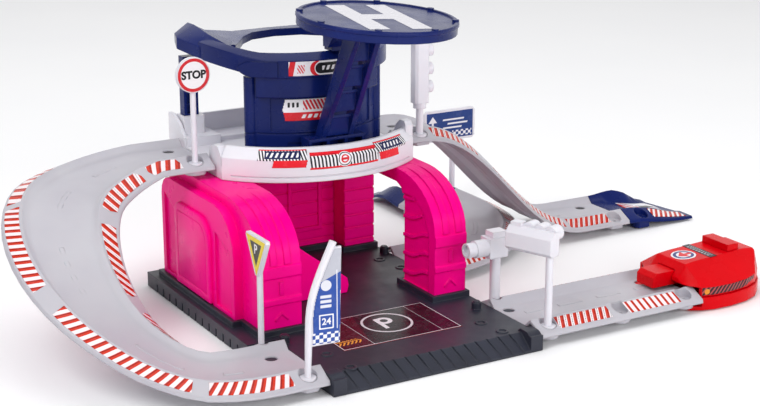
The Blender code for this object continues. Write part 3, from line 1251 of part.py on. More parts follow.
def build_pad():
    bottom = -PAD_THICK
    profile = [
        (PAD_RADIUS - PAD_RIM, -PAD_RECESS), (PAD_RADIUS - PAD_RIM, 0.0), (PAD_RADIUS - 0.6, 0.0), (PAD_RADIUS, -0.6),
        (PAD_RADIUS, -2.2), (PAD_RADIUS - 0.6, -2.6), (PAD_RADIUS - 0.6, bottom), (PAD_RADIUS - 2.6, bottom),
        (PAD_RADIUS - 3.4, -2.8),
    ]
    count = 40
    rings = []
    for radius, z in profile:
        rings.append([(radius * math.cos(2 * math.pi * i / count), radius * math.sin(2 * math.pi * i / count), z)
                      for i in range(count)])
    disc = solid(*loft(rings))
    for i in range(PAD_NUB_COUNT):
        angle = 2 * math.pi * (i + 0.35) / PAD_NUB_COUNT
        x = (PAD_RADIUS - 2.2) * math.cos(angle)
        y = (PAD_RADIUS - 2.2) * math.sin(angle)
        fuse(disc, rod(x, y, 2.0, -1.6, 0.7, 10))
    # Seat ring under the centre, where the strut's head plugs in
    seat = rod(0.0, 0.0, 9.0, -5.0, -2.0, 20)
    cut(seat, rod(0.0, 0.0, 6.0, -8.0, -2.9, 20))
    fuse(disc, seat)
    for spoke in range(6):
        angle = math.radians(60.0 * spoke + 15.0)
        bar = box(8.0, PAD_RADIUS - 3.0, -0.7, 0.7, -4.6, -2.0)
        bar.data.transform(Matrix.Rotation(angle, 4, "Z"))
        fuse(disc, bar)
    turn = Matrix.Translation(Vector((PAD_X, PAD_Y, PAD_TOP)) * MM) @ pad_turn()
    disc.data.transform(turn)
    return finish(disc, "helipad_disc", NAVY)


def strut_point(share):
    """Centre line of the strut from its foot box to the disc, and its depth there: y, z, depth."""
    y0, z0 = FOOT_BACK - 0.5 * STRUT_DEPTH - 0.6, FOOT_TOP - 2.0
    y1, z1 = PAD_Y + 6.8, PAD_TOP - PAD_THICK - 4.0
    return (y0 + (y1 - y0) * share, z0 + (z1 - z0) * share, STRUT_DEPTH + STRUT_GROW * share)


def build_strut():
    z0 = DECK_TOP + GAP
    body = box(FOOT_LEFT, FOOT_RIGHT, FOOT_FRONT, FOOT_BACK, z0, FOOT_TOP)
    tools = []
    bay = (FOOT_WIDTH - 4.0 * 2.0) / 3.0
    for i in range(3):
        x = FOOT_LEFT + 2.0 + i * (bay + 2.0)
        tools.append(box(x, x + bay, FOOT_FRONT - 1.0, FOOT_BACK - 2.0, z0 + 2.0, FOOT_TOP - 2.0))
    cut(body, *tools)
    low_y, low_z, low_depth = strut_point(0.0)
    high_y, high_z, high_depth = strut_point(1.0)
    def right_edge(share):
        return STRUT_LEFT + STRUT_WIDTH - STRUT_TAPER * share
    for low_x, high_x in ((STRUT_LEFT, STRUT_LEFT), (right_edge(0.0) - STRUT_RAIL, right_edge(1.0) - STRUT_RAIL)):
        ends = []
        for x, y, z, depth in ((low_x, low_y, low_z, low_depth), (high_x, high_y, high_z, high_depth)):
            ends.append([(x, y - 0.5 * depth, z), (x + STRUT_RAIL, y - 0.5 * depth, z),
                         (x + STRUT_RAIL, y + 0.5 * depth, z), (x, y + 0.5 * depth, z)])
        fuse(body, solid(*loft(ends)))
    for i in range(STRUT_STEP_COUNT):
        share = (i + 0.6) / (STRUT_STEP_COUNT + 0.2)
        y, z, depth = strut_point(share)
        tread = [(y + 0.5, z - 7.0), (y + 2.7, z - 7.0), (y - 0.6, z + 5.0), (y - 4.6, z + 6.4), (y - 4.6, z + 4.6),
                 (y - 2.4, z + 4.0)]
        fuse(body, prism(tread, STRUT_LEFT + 1.0, right_edge(share) - 1.5, "X"))
    head_right = STRUT_LEFT + STRUT_WIDTH - 1.7
    head = box(STRUT_LEFT, head_right, high_y - 10.0, high_y + 6.0, high_z - 3.0, PAD_TOP - PAD_THICK - 1.2)
    cut(head, box(STRUT_LEFT + 3.0, head_right - 3.0, high_y - 11.0, high_y + 3.0, high_z - 1.0, high_z + 0.8))
    fuse(body, head)
    fuse(body, rod(PAD_X, PAD_Y, 5.2, high_z - 2.0, PAD_TOP - 4.8, 18))
    return finish(body, "helipad_strut", NAVY)


def build_clip():
    """Block on the ring's front band, with a rear latch and an arm to the disc's rim."""
    rear = TOWER_Y - RING_RADIUS + RING_LEAN
    z0 = RING_TOP + GAP
    body = box(PAD_X + 0.5, PAD_X + 13.0, rear - 3.5, rear + 6.0, z0, z0 + 3.5)
    span = PAD_RISE - GAP
    neck = [(rear - 3.5, z0 + 2.5), (rear + 3.0, z0 + 2.5), (rear + 3.0, z0 + 0.31 * span),
            (rear - 0.6 * CLIP_NECK, z0 + 0.66 * span), (rear - 0.85 * CLIP_NECK, PAD_TOP - PAD_THICK - 1.0),
            (rear - CLIP_NECK, z0 + 0.65 * span), (rear - 0.45 * CLIP_NECK, z0 + 0.31 * span)]
    fuse(body, prism(neck, PAD_X - 2.0, PAD_X + 11.0, "X"))
    return finish(body, "helipad_clip", NAVY)


build_pad()
build_strut()
build_clip()


# Launcher

# Stations along the housing: x, half width, height of the top
LAUNCHER_STATIONS = [
    (LAUNCHER_LEFT + share * LAUNCHER_LENGTH, wide, high) for share, wide, high in (
        (0.0, 0.80, 0.62), (0.095, 0.93, 0.90), (0.222, 0.99, 0.93), (0.429, 1.0, 0.955),
        (0.635, 0.94, 0.98), (0.81, 0.80, 1.0), (0.944, 0.57, 0.97), (1.0, 0.36, 0.70),
    )
]


SADDLE_X = BUTTON_X - 0.5 * SADDLE_LENGTH
SADDLE_TOP = BUTTON_SEAT - BUTTON_TRAVEL - 0.5
LAUNCHER_HEAD_SEAT = LAUNCHER_FLOOR - 0.4


def launcher_outline(grow=0.0):
    """Plan of the housing: blunt nose, fullest in the middle, tapering to the back."""
    near = []
    for x, wide, _ in LAUNCHER_STATIONS:
        end = -grow if x < LAUNCHER_LEFT + 0.1 else grow if x > LAUNCHER_RIGHT - 0.1 else 0.0
        near.append((x + end, LAUNCHER_HALF * wide + grow))
    return [(x, STRAIGHT_Y - half) for x, half in near] + [(x, STRAIGHT_Y + half) for x, half in reversed(near)]


def build_launcher_base():
    floor = LAUNCHER_FLOOR
    body = prism(launcher_outline(LAUNCHER_RIM), LAUNCHER_FOOT, LAUNCHER_SPLIT)
    inner = prism(launcher_outline(-WALL), floor, LAUNCHER_SPLIT + 1.0)
    cut(body, inner)
    # The track's end lies in a slot through the front wall
    across = TRACK_HALF + STRAIGHT_WIDEN + 0.5
    slot = box(LAUNCHER_LEFT - 4.0, STRAIGHT_END + 0.6, STRAIGHT_Y - across, STRAIGHT_Y + across,
               GROUND_Z + BOSS_FOOT - 0.4, LAUNCHER_SPLIT + 1.0)
    cut(body, slot)
    fuse(body, box(STRAIGHT_END - 5.0, STRAIGHT_END + 4.0, STRAIGHT_Y + 3.0, STRAIGHT_Y + 15.0, floor - 0.5,
                   GROUND_Z - TRACK_SKIN - GAP))
    for x, y in LAUNCHER_SCREWS:
        fuse(body, rod(x, y, SCREW_HEAD + 1.6, LAUNCHER_FOOT, LAUNCHER_SPLIT - 2.0, 14))
    # Stop block: the pusher's spring ends on its face, the button's spring stands on its top
    fuse(body, box(SADDLE_X, SADDLE_X + SADDLE_LENGTH, STRAIGHT_Y - SADDLE_HALF, STRAIGHT_Y + SADDLE_HALF,
                   floor - 0.5, SADDLE_TOP))
    tools = []
    for x, y in LAUNCHER_SCREWS:
        tools.append(rod(x, y, SCREW_SHANK + SCREW_CLEAR, -1.0, LAUNCHER_SPLIT + 2.0, 12))
        tools.append(rod(x, y, SCREW_HEAD + SCREW_CLEAR, -1.0, LAUNCHER_HEAD_SEAT, 14))
    cut(body, *tools)
    fuse(body, tongue(STRAIGHT_HIGH_HOLE, (-1.0, 0.0), STRAIGHT_END - STRAIGHT_HIGH_HOLE[0], 2.0))
    return finish(body, "launcher_base", RED)


def top_height(x):
    """Height of the housing's top at x."""
    xs = [station[0] for station in LAUNCHER_STATIONS]
    return LAUNCHER_TOP * float(np.interp(x, xs, [station[2] for station in LAUNCHER_STATIONS]))


def cover_shell(inset):
    """Housing above the split: upright foot, sloping flanks, flat top."""
    z0 = LAUNCHER_SPLIT + GAP - (1.0 if inset else 0.0)
    rings = []
    for x, wide, high in LAUNCHER_STATIONS:
        half = LAUNCHER_HALF * wide - inset
        crown = min(TOP_HALF, 0.72 * half) - 0.3 * inset
        top = LAUNCHER_TOP * high - inset
        waist = LAUNCHER_SPLIT + 0.34 * (LAUNCHER_TOP * high - LAUNCHER_SPLIT)
        end = inset if x < LAUNCHER_LEFT + 0.1 else -inset if x > LAUNCHER_RIGHT - 0.1 else 0.0
        rings.append([
            (x + end, STRAIGHT_Y - half, z0), (x + end, STRAIGHT_Y - half, waist),
            (x + end, STRAIGHT_Y - crown - 1.2, top - 1.0), (x + end, STRAIGHT_Y - crown + 0.6, top),
            (x + end, STRAIGHT_Y + crown - 0.6, top), (x + end, STRAIGHT_Y + crown + 1.2, top - 1.0),
            (x + end, STRAIGHT_Y + half, waist), (x + end, STRAIGHT_Y + half, z0),
        ])
    return solid(*loft(rings))


def build_launcher_cover():
    z0 = LAUNCHER_SPLIT + GAP
    x0 = LAUNCHER_LEFT
    body = cover_shell(0.0)
    cut(body, cover_shell(LAUNCHER_SHELL))
    # Screw posts reach down from the roof
    for x, y in LAUNCHER_SCREWS:
        post = rod(x, y, 3.4, z0, LAUNCHER_TOP, 12)
        fuse(body, keep_inside(post, cover_shell(0.4 * LAUNCHER_SHELL)))
    # Mouth for the pusher and well for the button
    tools = [
        box(x0 - 2.0, x0 + 12.0, STRAIGHT_Y - PUSHER_HALF - GAP, STRAIGHT_Y + PUSHER_HALF + GAP,
            PUSHER_BOTTOM - GAP, PUSHER_TOP + GAP),
        box(BUTTON_X - BUTTON_HALF_X - GAP, BUTTON_X + BUTTON_HALF_X + GAP, STRAIGHT_Y - BUTTON_HALF_Y - GAP,
            STRAIGHT_Y + BUTTON_HALF_Y + GAP, PUSHER_TOP + 1.0, LAUNCHER_TOP + 4.0),
    ]
    for x, y in LAUNCHER_SCREWS:
        tools.append(rod(x, y, SCREW_SHANK + SCREW_CLEAR, z0 - 1.0, z0 + 0.65 * SCREW_LENGTH, 12))
    # The front lower edge clears the track's kerbs
    across = TRACK_HALF + STRAIGHT_WIDEN + 2.0
    kerb_clear = box(x0 - 3.0, STRAIGHT_END + 0.6, STRAIGHT_Y - across, STRAIGHT_Y + across,
                     z0 - 2.0, GROUND_Z + WALL_RISE + 0.6)
    tools.append(kerb_clear)
    cut(body, *tools)
    return finish(body, "launcher_cover", RED)


def build_pusher():
    """Nose block, guide body with a spring bore, and a notch for the button's hook."""
    front = LAUNCHER_LEFT - PUSHER_REACH
    back = LAUNCHER_LEFT + PUSHER_BACK
    nose = [(front, PUSHER_BOTTOM), (front, PUSHER_TOP - 2.6), (front + 2.6, PUSHER_TOP), (back, PUSHER_TOP), (back, PUSHER_BOTTOM)]
    body = prism(nose, STRAIGHT_Y - PUSHER_HALF, STRAIGHT_Y + PUSHER_HALF, "Y")
    tools = [prism(circle(STRAIGHT_Y, 0.5 * (PUSHER_BOTTOM + PUSHER_TOP), SPRING_RADIUS + 0.9, 16),
                   back - SPRING_SEAT, back + 1.0, "X"),
             box(back - 6.0, back - 3.0, STRAIGHT_Y - PUSHER_HALF - 1.0, STRAIGHT_Y - PUSHER_HALF + 2.0, PUSHER_TOP - 2.0,
                 PUSHER_TOP + 1.0)]
    cut(body, *tools)
    return finish(body, "launcher_pusher", RED, (front, STRAIGHT_Y, 0.5 * (PUSHER_BOTTOM + PUSHER_TOP)))


def helix(start, axis, length, radius, wire, turns, name):
    """Round-wire compression spring along +X or +Z."""
    per_turn = 9
    sides = 5
    total = int(turns * per_turn)
    rings = []
    for i in range(total + 1):
        angle = 2.0 * math.pi * i / per_turn
        along_axis = wire + (length - 2.0 * wire) * i / total
        ring = []
        for j in range(sides):
            spin = 2.0 * math.pi * j / sides
            reach = radius + wire * math.cos(spin)
            lift = along_axis + wire * math.sin(spin)
            a, b = reach * math.cos(angle), reach * math.sin(angle)
            if axis == "X":
                ring.append((start[0] + lift, start[1] + a, start[2] + b))
            else:
                ring.append((start[0] + a, start[1] + b, start[2] + lift))
        rings.append(ring)
    return finish(solid(*loft(rings)), name, STEEL)


def build_button():
    top = top_height(BUTTON_X) + BUTTON_RISE
    body = box(BUTTON_X - BUTTON_HALF_X, BUTTON_X + BUTTON_HALF_X, STRAIGHT_Y - BUTTON_HALF_Y,
               STRAIGHT_Y + BUTTON_HALF_Y, BUTTON_SEAT, top)
    cut(body, box(BUTTON_X - BUTTON_HALF_X + BUTTON_WALL, BUTTON_X + BUTTON_HALF_X - BUTTON_WALL,
                  STRAIGHT_Y - BUTTON_HALF_Y + BUTTON_WALL, STRAIGHT_Y + BUTTON_HALF_Y - BUTTON_WALL,
                  BUTTON_SEAT - 1.0, top - WALL))
    return finish(body, "launcher_button", RED, (BUTTON_X, STRAIGHT_Y, top))


build_launcher_base()
build_launcher_cover()
build_pusher()
build_button()
PUSHER_SPRING_START = LAUNCHER_LEFT + PUSHER_BACK - SPRING_SEAT + GAP
helix((PUSHER_SPRING_START, STRAIGHT_Y, 0.5 * (PUSHER_BOTTOM + PUSHER_TOP)), "X",
      SADDLE_X - GAP - PUSHER_SPRING_START, SPRING_RADIUS, SPRING_WIRE, 9, "launcher_spring")
BUTTON_SPRING_ROOM = top_height(BUTTON_X) + BUTTON_RISE - WALL - SADDLE_TOP
helix((BUTTON_X, STRAIGHT_Y, SADDLE_TOP + GAP), "Z", BUTTON_SPRING_ROOM - 2.0 * GAP, 0.7 * SPRING_RADIUS,
      0.8 * SPRING_WIRE, 5, "button_spring")


def screw(name, x, y, head_low):
    body = rod(x, y, SCREW_HEAD, head_low, head_low + SCREW_HEAD_HEIGHT, 12)
    fuse(body, rod(x, y, SCREW_SHANK, head_low + 1.0, head_low + SCREW_HEAD_HEIGHT + SCREW_LENGTH, 10))
    return finish(body, name, STEEL)


for number, (screw_x, screw_y) in enumerate(WALL_SCREWS, 1):
    screw(f"wall_screw_{number}", screw_x, screw_y, BASE_TOP - 4.4 - SCREW_HEAD_HEIGHT - GAP)
for number, (screw_x, screw_y) in enumerate(LAUNCHER_SCREWS, 1):
    screw(f"launcher_screw_{number}", screw_x, screw_y, LAUNCHER_HEAD_SEAT - SCREW_HEAD_HEIGHT - GAP)


# Signs: foot disc in a kerb socket, peg below, post above

def sign_foot(spot, post_top, radius=POST_RADIUS):
    """Foot disc, peg and post of a plug-in sign."""
    x, y, z = spot
    seat = z + POCKET_FLOOR + GAP
    body = rod(x, y, FOOT_RADIUS, seat, seat + FOOT_HEIGHT, 20)
    fuse(body, rod(x, y, PEG_RADIUS, seat - PEG_LENGTH, seat + 1.0, 12), rod(x, y, radius, seat + 1.0, post_top, 14))
    return body


def sign_origin(spot):
    return (spot[0], spot[1], spot[2] + POCKET_FLOOR + GAP)


def build_stop():
    x, y, z = STOP_SPOT
    centre = z + STOP_CENTRE
    body = sign_foot(STOP_SPOT, centre - STOP_RADIUS + 2.0)
    fuse(body, prism(circle(x, centre, STOP_RADIUS, 32), y - SIGN_PLATE, y + 0.6, "Y"))
    return finish(body, "stop_sign", WHITE, sign_origin(STOP_SPOT))


def build_parking():
    x, y, z = PARKING_SPOT
    low = z + PARKING_LOW
    top = low + PARKING_HEIGHT
    half = PARKING_HALF
    body = sign_foot(PARKING_SPOT, low + 4.0)
    plate = [(y - half, top), (y + half, top), (y + half + 0.6, top - 1.6), (y + 1.6, low), (y - 1.6, low),
             (y - half - 0.6, top - 1.6)]
    fuse(body, prism(plate, x - SIGN_PLATE, x + 0.6, "X"))
    return finish(body, "parking_sign", WHITE, sign_origin(PARKING_SPOT))


def flag_edge(share):
    """Centre of the pole at a share of its height, leaning and then bowing over: across, up."""
    up = FLAG_HEIGHT * share
    return (0.033 * up + FLAG_BOW * smoothstep((share - 0.42) / 0.9) ** 1.1, up)


def build_flag():
    """Pole that bows over at the top, with the banner hanging inside the bow."""
    x, y, z = FLAG_SPOT
    turn = math.radians(FLAG_TURN_DEG)
    cx, sx = math.cos(turn), math.sin(turn)
    body = sign_foot(FLAG_SPOT, z + 6.0)
    rings = []
    steps = 14
    for i in range(steps + 1):
        across, up = flag_edge(0.04 + 0.96 * i / steps)
        ahead, above = flag_edge(min(0.04 + 0.96 * i / steps + 0.02, 1.02))
        tilt = math.atan2(ahead - across, above - up)
        half = 1.7 + 0.3 * smoothstep(i / 4.0)
        ring = []
        for k in range(8):
            spin = 2.0 * math.pi * (k + 0.5) / 8.0
            a = across + half * math.cos(spin) * math.cos(tilt)
            b = half * math.sin(spin)
            c = up - half * math.cos(spin) * math.sin(tilt)
            ring.append((x + a * cx - b * sx, y + a * sx + b * cx, z + c))
        rings.append(ring)
    fuse(body, solid(*loft(rings)))
    edge = [flag_edge(0.24 + 0.72 * k / 9.0) for k in range(10)]
    panel = [(0.94 * FLAG_WIDTH, FLAG_LOW), (FLAG_WIDTH, 0.96 * FLAG_HEIGHT)] + list(reversed(edge))
    front = [(x + a * cx + 0.8 * sx, y + a * sx - 0.8 * cx, z + c) for a, c in panel]
    back = [(x + a * cx - 0.8 * sx, y + a * sx + 0.8 * cx, z + c) for a, c in panel]
    fuse(body, solid(*loft([front, back])))
    return finish(body, "flag_sign", WHITE, sign_origin(FLAG_SPOT))


def build_traffic_light():
    x, y, z = LIGHT_SPOT
    low = z + LIGHT_LOW
    high = low + LIGHT_HEIGHT
    half = LIGHT_HALF
    body = sign_foot(LIGHT_SPOT, low + 1.0, 1.35 * POST_RADIUS)
    fuse(body, rod(x, y, half, low - 3.5, low + 1.0, 16))
    corner = 0.38 * half
    left, right = x - 1.2 * half, x + 0.95 * half
    outline = [(left, y - half + corner), (left + corner, y - half), (right, y - half), (right, y + half),
               (left + corner, y + half), (left, y + half - corner)]
    fuse(body, prism(outline, low, high))
    for i in range(3):
        centre = low + LIGHT_PITCH * (i + 0.83)
        hood = prism(circle(y, centre, LIGHT_LAMP, 16), right - 0.5, right + LIGHT_LAMP, "X")
        cut(hood, prism(circle(y, centre - 0.6, 0.77 * LIGHT_LAMP, 14), right + 1.0, right + LIGHT_LAMP + 1.0, "X"))
        fuse(body, hood)
    return finish(body, "traffic_light", WHITE, sign_origin(LIGHT_SPOT))


def build_gantry():
    """Post with a level lamp head that reaches over the track, turned a little in its socket."""
    x, y, z = GANTRY_SPOT
    low = z + GANTRY_LOW
    high = low + GANTRY_HEIGHT
    half = GANTRY_HALF
    body = sign_foot(GANTRY_SPOT, low + 1.0, 1.3 * POST_RADIUS)
    # Eight-sided head: the upper edge on the road side is cut back farthest
    section = [(-half, low + 2.0), (-half + 2.0, low), (half - 1.0, low), (half, low + 1.0), (half, high),
               (-half + 3.4, high), (-half, high - 3.6)]
    head = prism(section, -3.0, GANTRY_REACH, "Y")
    fuse(head, box(-half + 3.4, half, GANTRY_REACH - 8.0, GANTRY_REACH - 1.0, high - 1.0, high + 2.0))
    for i in range(3):
        centre = 1.2 + GANTRY_PITCH * i
        middle = high - 0.45 * GANTRY_LAMP
        hood = prism(circle(centre, middle, GANTRY_LAMP, 16), half - 3.0, half + 4.6, "X")
        cut(hood, prism(circle(centre, middle - 0.5, 0.78 * GANTRY_LAMP, 14), half + 1.2, half + 6.0, "X"))
        fuse(head, hood)
    head.data.transform(Matrix.Translation(Vector((x, y, 0.0)) * MM) @ Matrix.Rotation(math.radians(GANTRY_TURN_DEG), 4, "Z"))
    fuse(body, head)
    return finish(body, "gantry_light", WHITE, sign_origin(GANTRY_SPOT))


def build_camera():
    x, y, z = CAMERA_SPOT
    low = z + CAMERA_LOW
    high = low + CAMERA_HEIGHT
    half = CAMERA_HALF
    body = sign_foot(CAMERA_SPOT, low + 1.0, 1.85 * POST_RADIUS)
    fuse(body, box(x - 1.4 * half, x + 1.1 * half, y - half, y + half, low, high - 0.7 * half))
    fuse(body, box(x - 0.9 * half, x + half, y - 0.8 * half, y + 0.8 * half, low + 2.0, high))
    axis = low + 1.2 * half
    radius = CAMERA_LENS_RADIUS
    lens = prism(circle(y, axis, radius, 18), x - CAMERA_LENS, x - 1.3 * half, "X")
    fuse(lens, prism(circle(y, axis, 1.18 * radius, 18), x - 3.0 * half, x - 1.3 * half, "X"))
    cut(lens, prism(circle(y, axis, 0.77 * radius, 16), x - CAMERA_LENS - 1.0, x - CAMERA_LENS + 2.5, "X"))
    fuse(body, lens)
    return finish(body, "camera_sign", WHITE, sign_origin(CAMERA_SPOT))


def build_billboard():
    x, y, z = BILLBOARD_SPOT
    low = z + BOARD_LOW
    high = low + BOARD_HEIGHT
    body = sign_foot(BILLBOARD_SPOT, low + 1.0, 1.24 * POST_RADIUS)
    left, right = x - BOARD_LEFT, x + BOARD_RIGHT
    panel = [(left, low + 2.0), (left + 2.0, low), (right - 2.0, low), (right, low + 2.0),
             (right, high - 2.0), (right - 2.0, high), (left + 2.0, high), (left, high - 2.0)]
    fuse(body, prism(panel, y - 1.4, y + 1.0, "Y"))
    return finish(body, "billboard", WHITE, sign_origin(BILLBOARD_SPOT))


build_stop()
build_parking()
build_flag()
build_traffic_light()
build_gantry()
build_camera()
build_billboard()
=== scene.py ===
"""Toy parking garage: the finish of every surface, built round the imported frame.

Lengths are in millimetres where they are written, and MM turns them into metres.
"""
import math

import bmesh
import bpy
import numpy as np
from mathutils import Matrix, Vector


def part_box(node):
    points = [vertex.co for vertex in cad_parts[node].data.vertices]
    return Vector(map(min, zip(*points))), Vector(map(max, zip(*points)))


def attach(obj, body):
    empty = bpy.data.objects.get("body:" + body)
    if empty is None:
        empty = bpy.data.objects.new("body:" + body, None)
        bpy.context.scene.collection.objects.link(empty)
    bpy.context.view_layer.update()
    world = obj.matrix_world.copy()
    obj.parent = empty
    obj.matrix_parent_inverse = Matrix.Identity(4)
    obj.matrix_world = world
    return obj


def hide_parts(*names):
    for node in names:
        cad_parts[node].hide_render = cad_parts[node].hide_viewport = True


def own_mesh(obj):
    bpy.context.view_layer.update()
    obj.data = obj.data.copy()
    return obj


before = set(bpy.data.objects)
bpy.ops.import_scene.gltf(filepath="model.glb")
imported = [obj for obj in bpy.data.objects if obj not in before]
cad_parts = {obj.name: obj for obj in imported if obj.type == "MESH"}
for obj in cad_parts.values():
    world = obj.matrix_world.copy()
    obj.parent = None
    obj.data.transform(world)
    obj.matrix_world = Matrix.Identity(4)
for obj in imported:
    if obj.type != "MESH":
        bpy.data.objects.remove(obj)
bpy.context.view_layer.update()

MM = 0.001


# Base plate. One charcoal ABS moulding with a fine spark-eroded grain, ribbed underneath, with
# raised sockets for the pink walls and a grooved drive-up edge between two corner knobs.

def linear(code):
    """sRGB hex to linear red, green, blue and alpha: the power curve with its straight foot."""
    srgb = np.array([int(code[i:i + 2], 16) for i in (1, 3, 5)]) / 255.0
    rgb = np.where(srgb <= 0.04045, srgb / 12.92, ((srgb + 0.055) / 1.055) ** 2.4)
    return (*rgb.tolist(), 1.0)


def fit(tree, node, settings=None, links=None):
    """Sets a node's properties (lower case) and inputs (name or number), and links its inputs to sockets
    or to the first output of nodes."""
    for key, value in (settings or {}).items():
        if isinstance(key, str) and key[0].islower():
            setattr(node, key, value)
        else:
            node.inputs[key].default_value = value
    for key, source in (links or {}).items():
        tree.links.new(getattr(source, "outputs", [source])[0], node.inputs[key])
    return node


def add(tree, kind, settings=None, links=None):
    """Adds a shader node of that kind, with its settings and links."""
    return fit(tree, tree.nodes.new(f"ShaderNode{kind}"), settings, links)


def blank(name):
    """A new material with its node tree, its shader and the coordinates of the object that wears it."""
    mat = bpy.data.materials.new(name)
    mat.use_nodes = True
    tree = mat.node_tree
    return mat, tree, tree.nodes["Principled BSDF"], add(tree, "TexCoord").outputs["Object"]


COLOUR_PATCH, GLOSS_PATCH = 35.0, 12.0


def moulded(name, colour, shade, roughness, grain, depth, rounding, glow=0.0, ior=1.53, shine=0.5):
    """Injection-moulded plastic. Colour drifts to shade in patches where the melt cooled unevenly, gloss
    drifts in smaller ones, the mould's grain (mm) gives a bump of that depth (mm), and every moulded
    edge is rounded by its radius (mm). glow is the share of light that enters the plastic."""
    mat, tree, shader, place = blank(name)
    cloud = add(tree, "TexNoise", {"Scale": 1.0 / (COLOUR_PATCH * MM), "Detail": 3.0}, {"Vector": place})
    drift = add(tree, "MapRange", {"From Min": 0.35, "From Max": 0.7}, {"Value": cloud})
    tone = add(tree, "Mix", {"data_type": "RGBA", 6: linear(colour), 7: linear(shade)}, {0: drift})
    gloss = add(tree, "TexNoise", {"Scale": 1.0 / (GLOSS_PATCH * MM), "Detail": 4.0}, {"Vector": place})
    rough = add(tree, "MapRange", {"From Min": 0.3, "From Max": 0.7, "To Min": roughness - 0.05,
                                   "To Max": roughness + 0.07}, {"Value": gloss})
    edge = add(tree, "Bevel", {"samples": 6, "Radius": rounding * MM})
    texture = add(tree, "TexNoise", {"Scale": 1.0 / (grain * MM), "Detail": 2.0}, {"Vector": place})
    bump = add(tree, "Bump", {"Strength": 0.6, "Distance": depth * MM}, {"Height": texture, "Normal": edge})
    fit(tree, shader, {"IOR": ior, "Specular IOR Level": shine}, {
        "Base Color": tone.outputs[2], "Roughness": rough, "Normal": bump})
    if glow:
        fit(tree, shader, {"Subsurface Weight": glow, "Subsurface Radius": (1.0, 0.6, 0.5),
                           "Subsurface Scale": 1.5 * MM})
    return mat


def linked(name, data):
    """New object that holds that data, linked to the scene."""
    thing = bpy.data.objects.new(name, data)
    bpy.context.scene.collection.objects.link(thing)
    return thing


def placed(name, mesh, body="garage"):
    """Object with that mesh, at the origin, which rides on a body. All that is not said to move rides on
    the garage."""
    piece = linked(name, mesh)
    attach(piece, body)
    return piece


MERGE_DISTANCE = 0.004
FLAT_WEIGHT = 80


def dressed(node, name, material, corner=35.0, body="garage"):
    """Copy of a CAD node with its loose triangles merged, smooth up to the corners that are sharper
    than corner degrees, and flat faces kept flat by normals weighted with face area."""
    mesh = bpy.data.meshes.new(name)
    bm = bmesh.new()
    bm.from_mesh(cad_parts[node].data)
    bmesh.ops.remove_doubles(bm, verts=bm.verts, dist=MERGE_DISTANCE * MM)
    bm.to_mesh(mesh)
    bm.free()
    if "custom_normal" in mesh.attributes:
        mesh.attributes.remove(mesh.attributes["custom_normal"])
    mesh.materials.clear()
    mesh.materials.append(material)
    mesh.shade_smooth()
    mesh.set_sharp_from_angle(angle=math.radians(corner))
    piece = placed(name, mesh, body)
    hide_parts(node)
    weigh = piece.modifiers.new("Flat faces", "WEIGHTED_NORMAL")
    weigh.keep_sharp = True
    weigh.weight = FLAT_WEIGHT
    return piece


# Charcoal ABS, satin from the eroded tool. The grain is coarser than life (0.45 mm) so that it shows
CHARCOAL = moulded("charcoal moulded ABS", "#1f212e", "#282b3a", roughness=0.42, grain=0.45, depth=0.05,
                   rounding=0.9, shine=0.4)
dressed("base_plate", "base_moulding", CHARCOAL)


# Bay print. A sheet of glossy PVC film stuck on the base's floor in front of the garage: a dark
# parking bay with a thin white line, a red corner, a white ring and a row of orange chevrons.

WORN_INK = "#9a9aa2"


def ink(name, ground, layers):
    """Glossy PVC film with printed inks. Each ink covers where its own attribute, the signed distance
    in mm to its shape, is above zero, and its rim is 0.15 mm soft. Ink drifts a little in tone over 5 mm,
    and the film lies in faint waves of 9 mm."""
    mat, tree, shader, place = blank(name)
    speck = add(tree, "TexNoise", {"Scale": 1.0 / (5.0 * MM), "Detail": 2.0}, {"Vector": place})
    fade = add(tree, "MapRange", {"From Min": 0.4, "From Max": 0.75, "To Max": 0.05}, {"Value": speck})
    tints = [add(tree, "Mix", {"data_type": "RGBA", 6: linear(hue), 7: linear(WORN_INK)},
                 {0: fade}).outputs[2] for hue in (ground, *layers)]
    colour = tints[0]
    for number, tint in enumerate(tints[1:]):
        reach = add(tree, "Attribute", {"attribute_name": f"ink_{number}"})
        cover = add(tree, "Math", {"operation": "MULTIPLY_ADD", "use_clamp": True, 1: 7.0, 2: 0.5},
                    {0: reach.outputs["Fac"]})
        colour = add(tree, "Mix", {"data_type": "RGBA"}, {0: cover, 6: colour, 7: tint}).outputs[2]
    rough = add(tree, "MapRange", {"From Min": 0.3, "From Max": 0.8, "To Min": 0.24, "To Max": 0.3},
                {"Value": speck})
    wave = add(tree, "TexNoise", {"Scale": 1.0 / (9.0 * MM), "Detail": 1.0}, {"Vector": place})
    bump = add(tree, "Bump", {"Strength": 0.25, "Distance": 0.06 * MM}, {"Height": wave})
    fit(tree, shader, {"IOR": 1.5, "Specular IOR Level": 0.2}, {
        "Base Color": colour, "Roughness": rough, "Normal": bump})
    return mat


FILM, LIFT = 0.1, 0.14


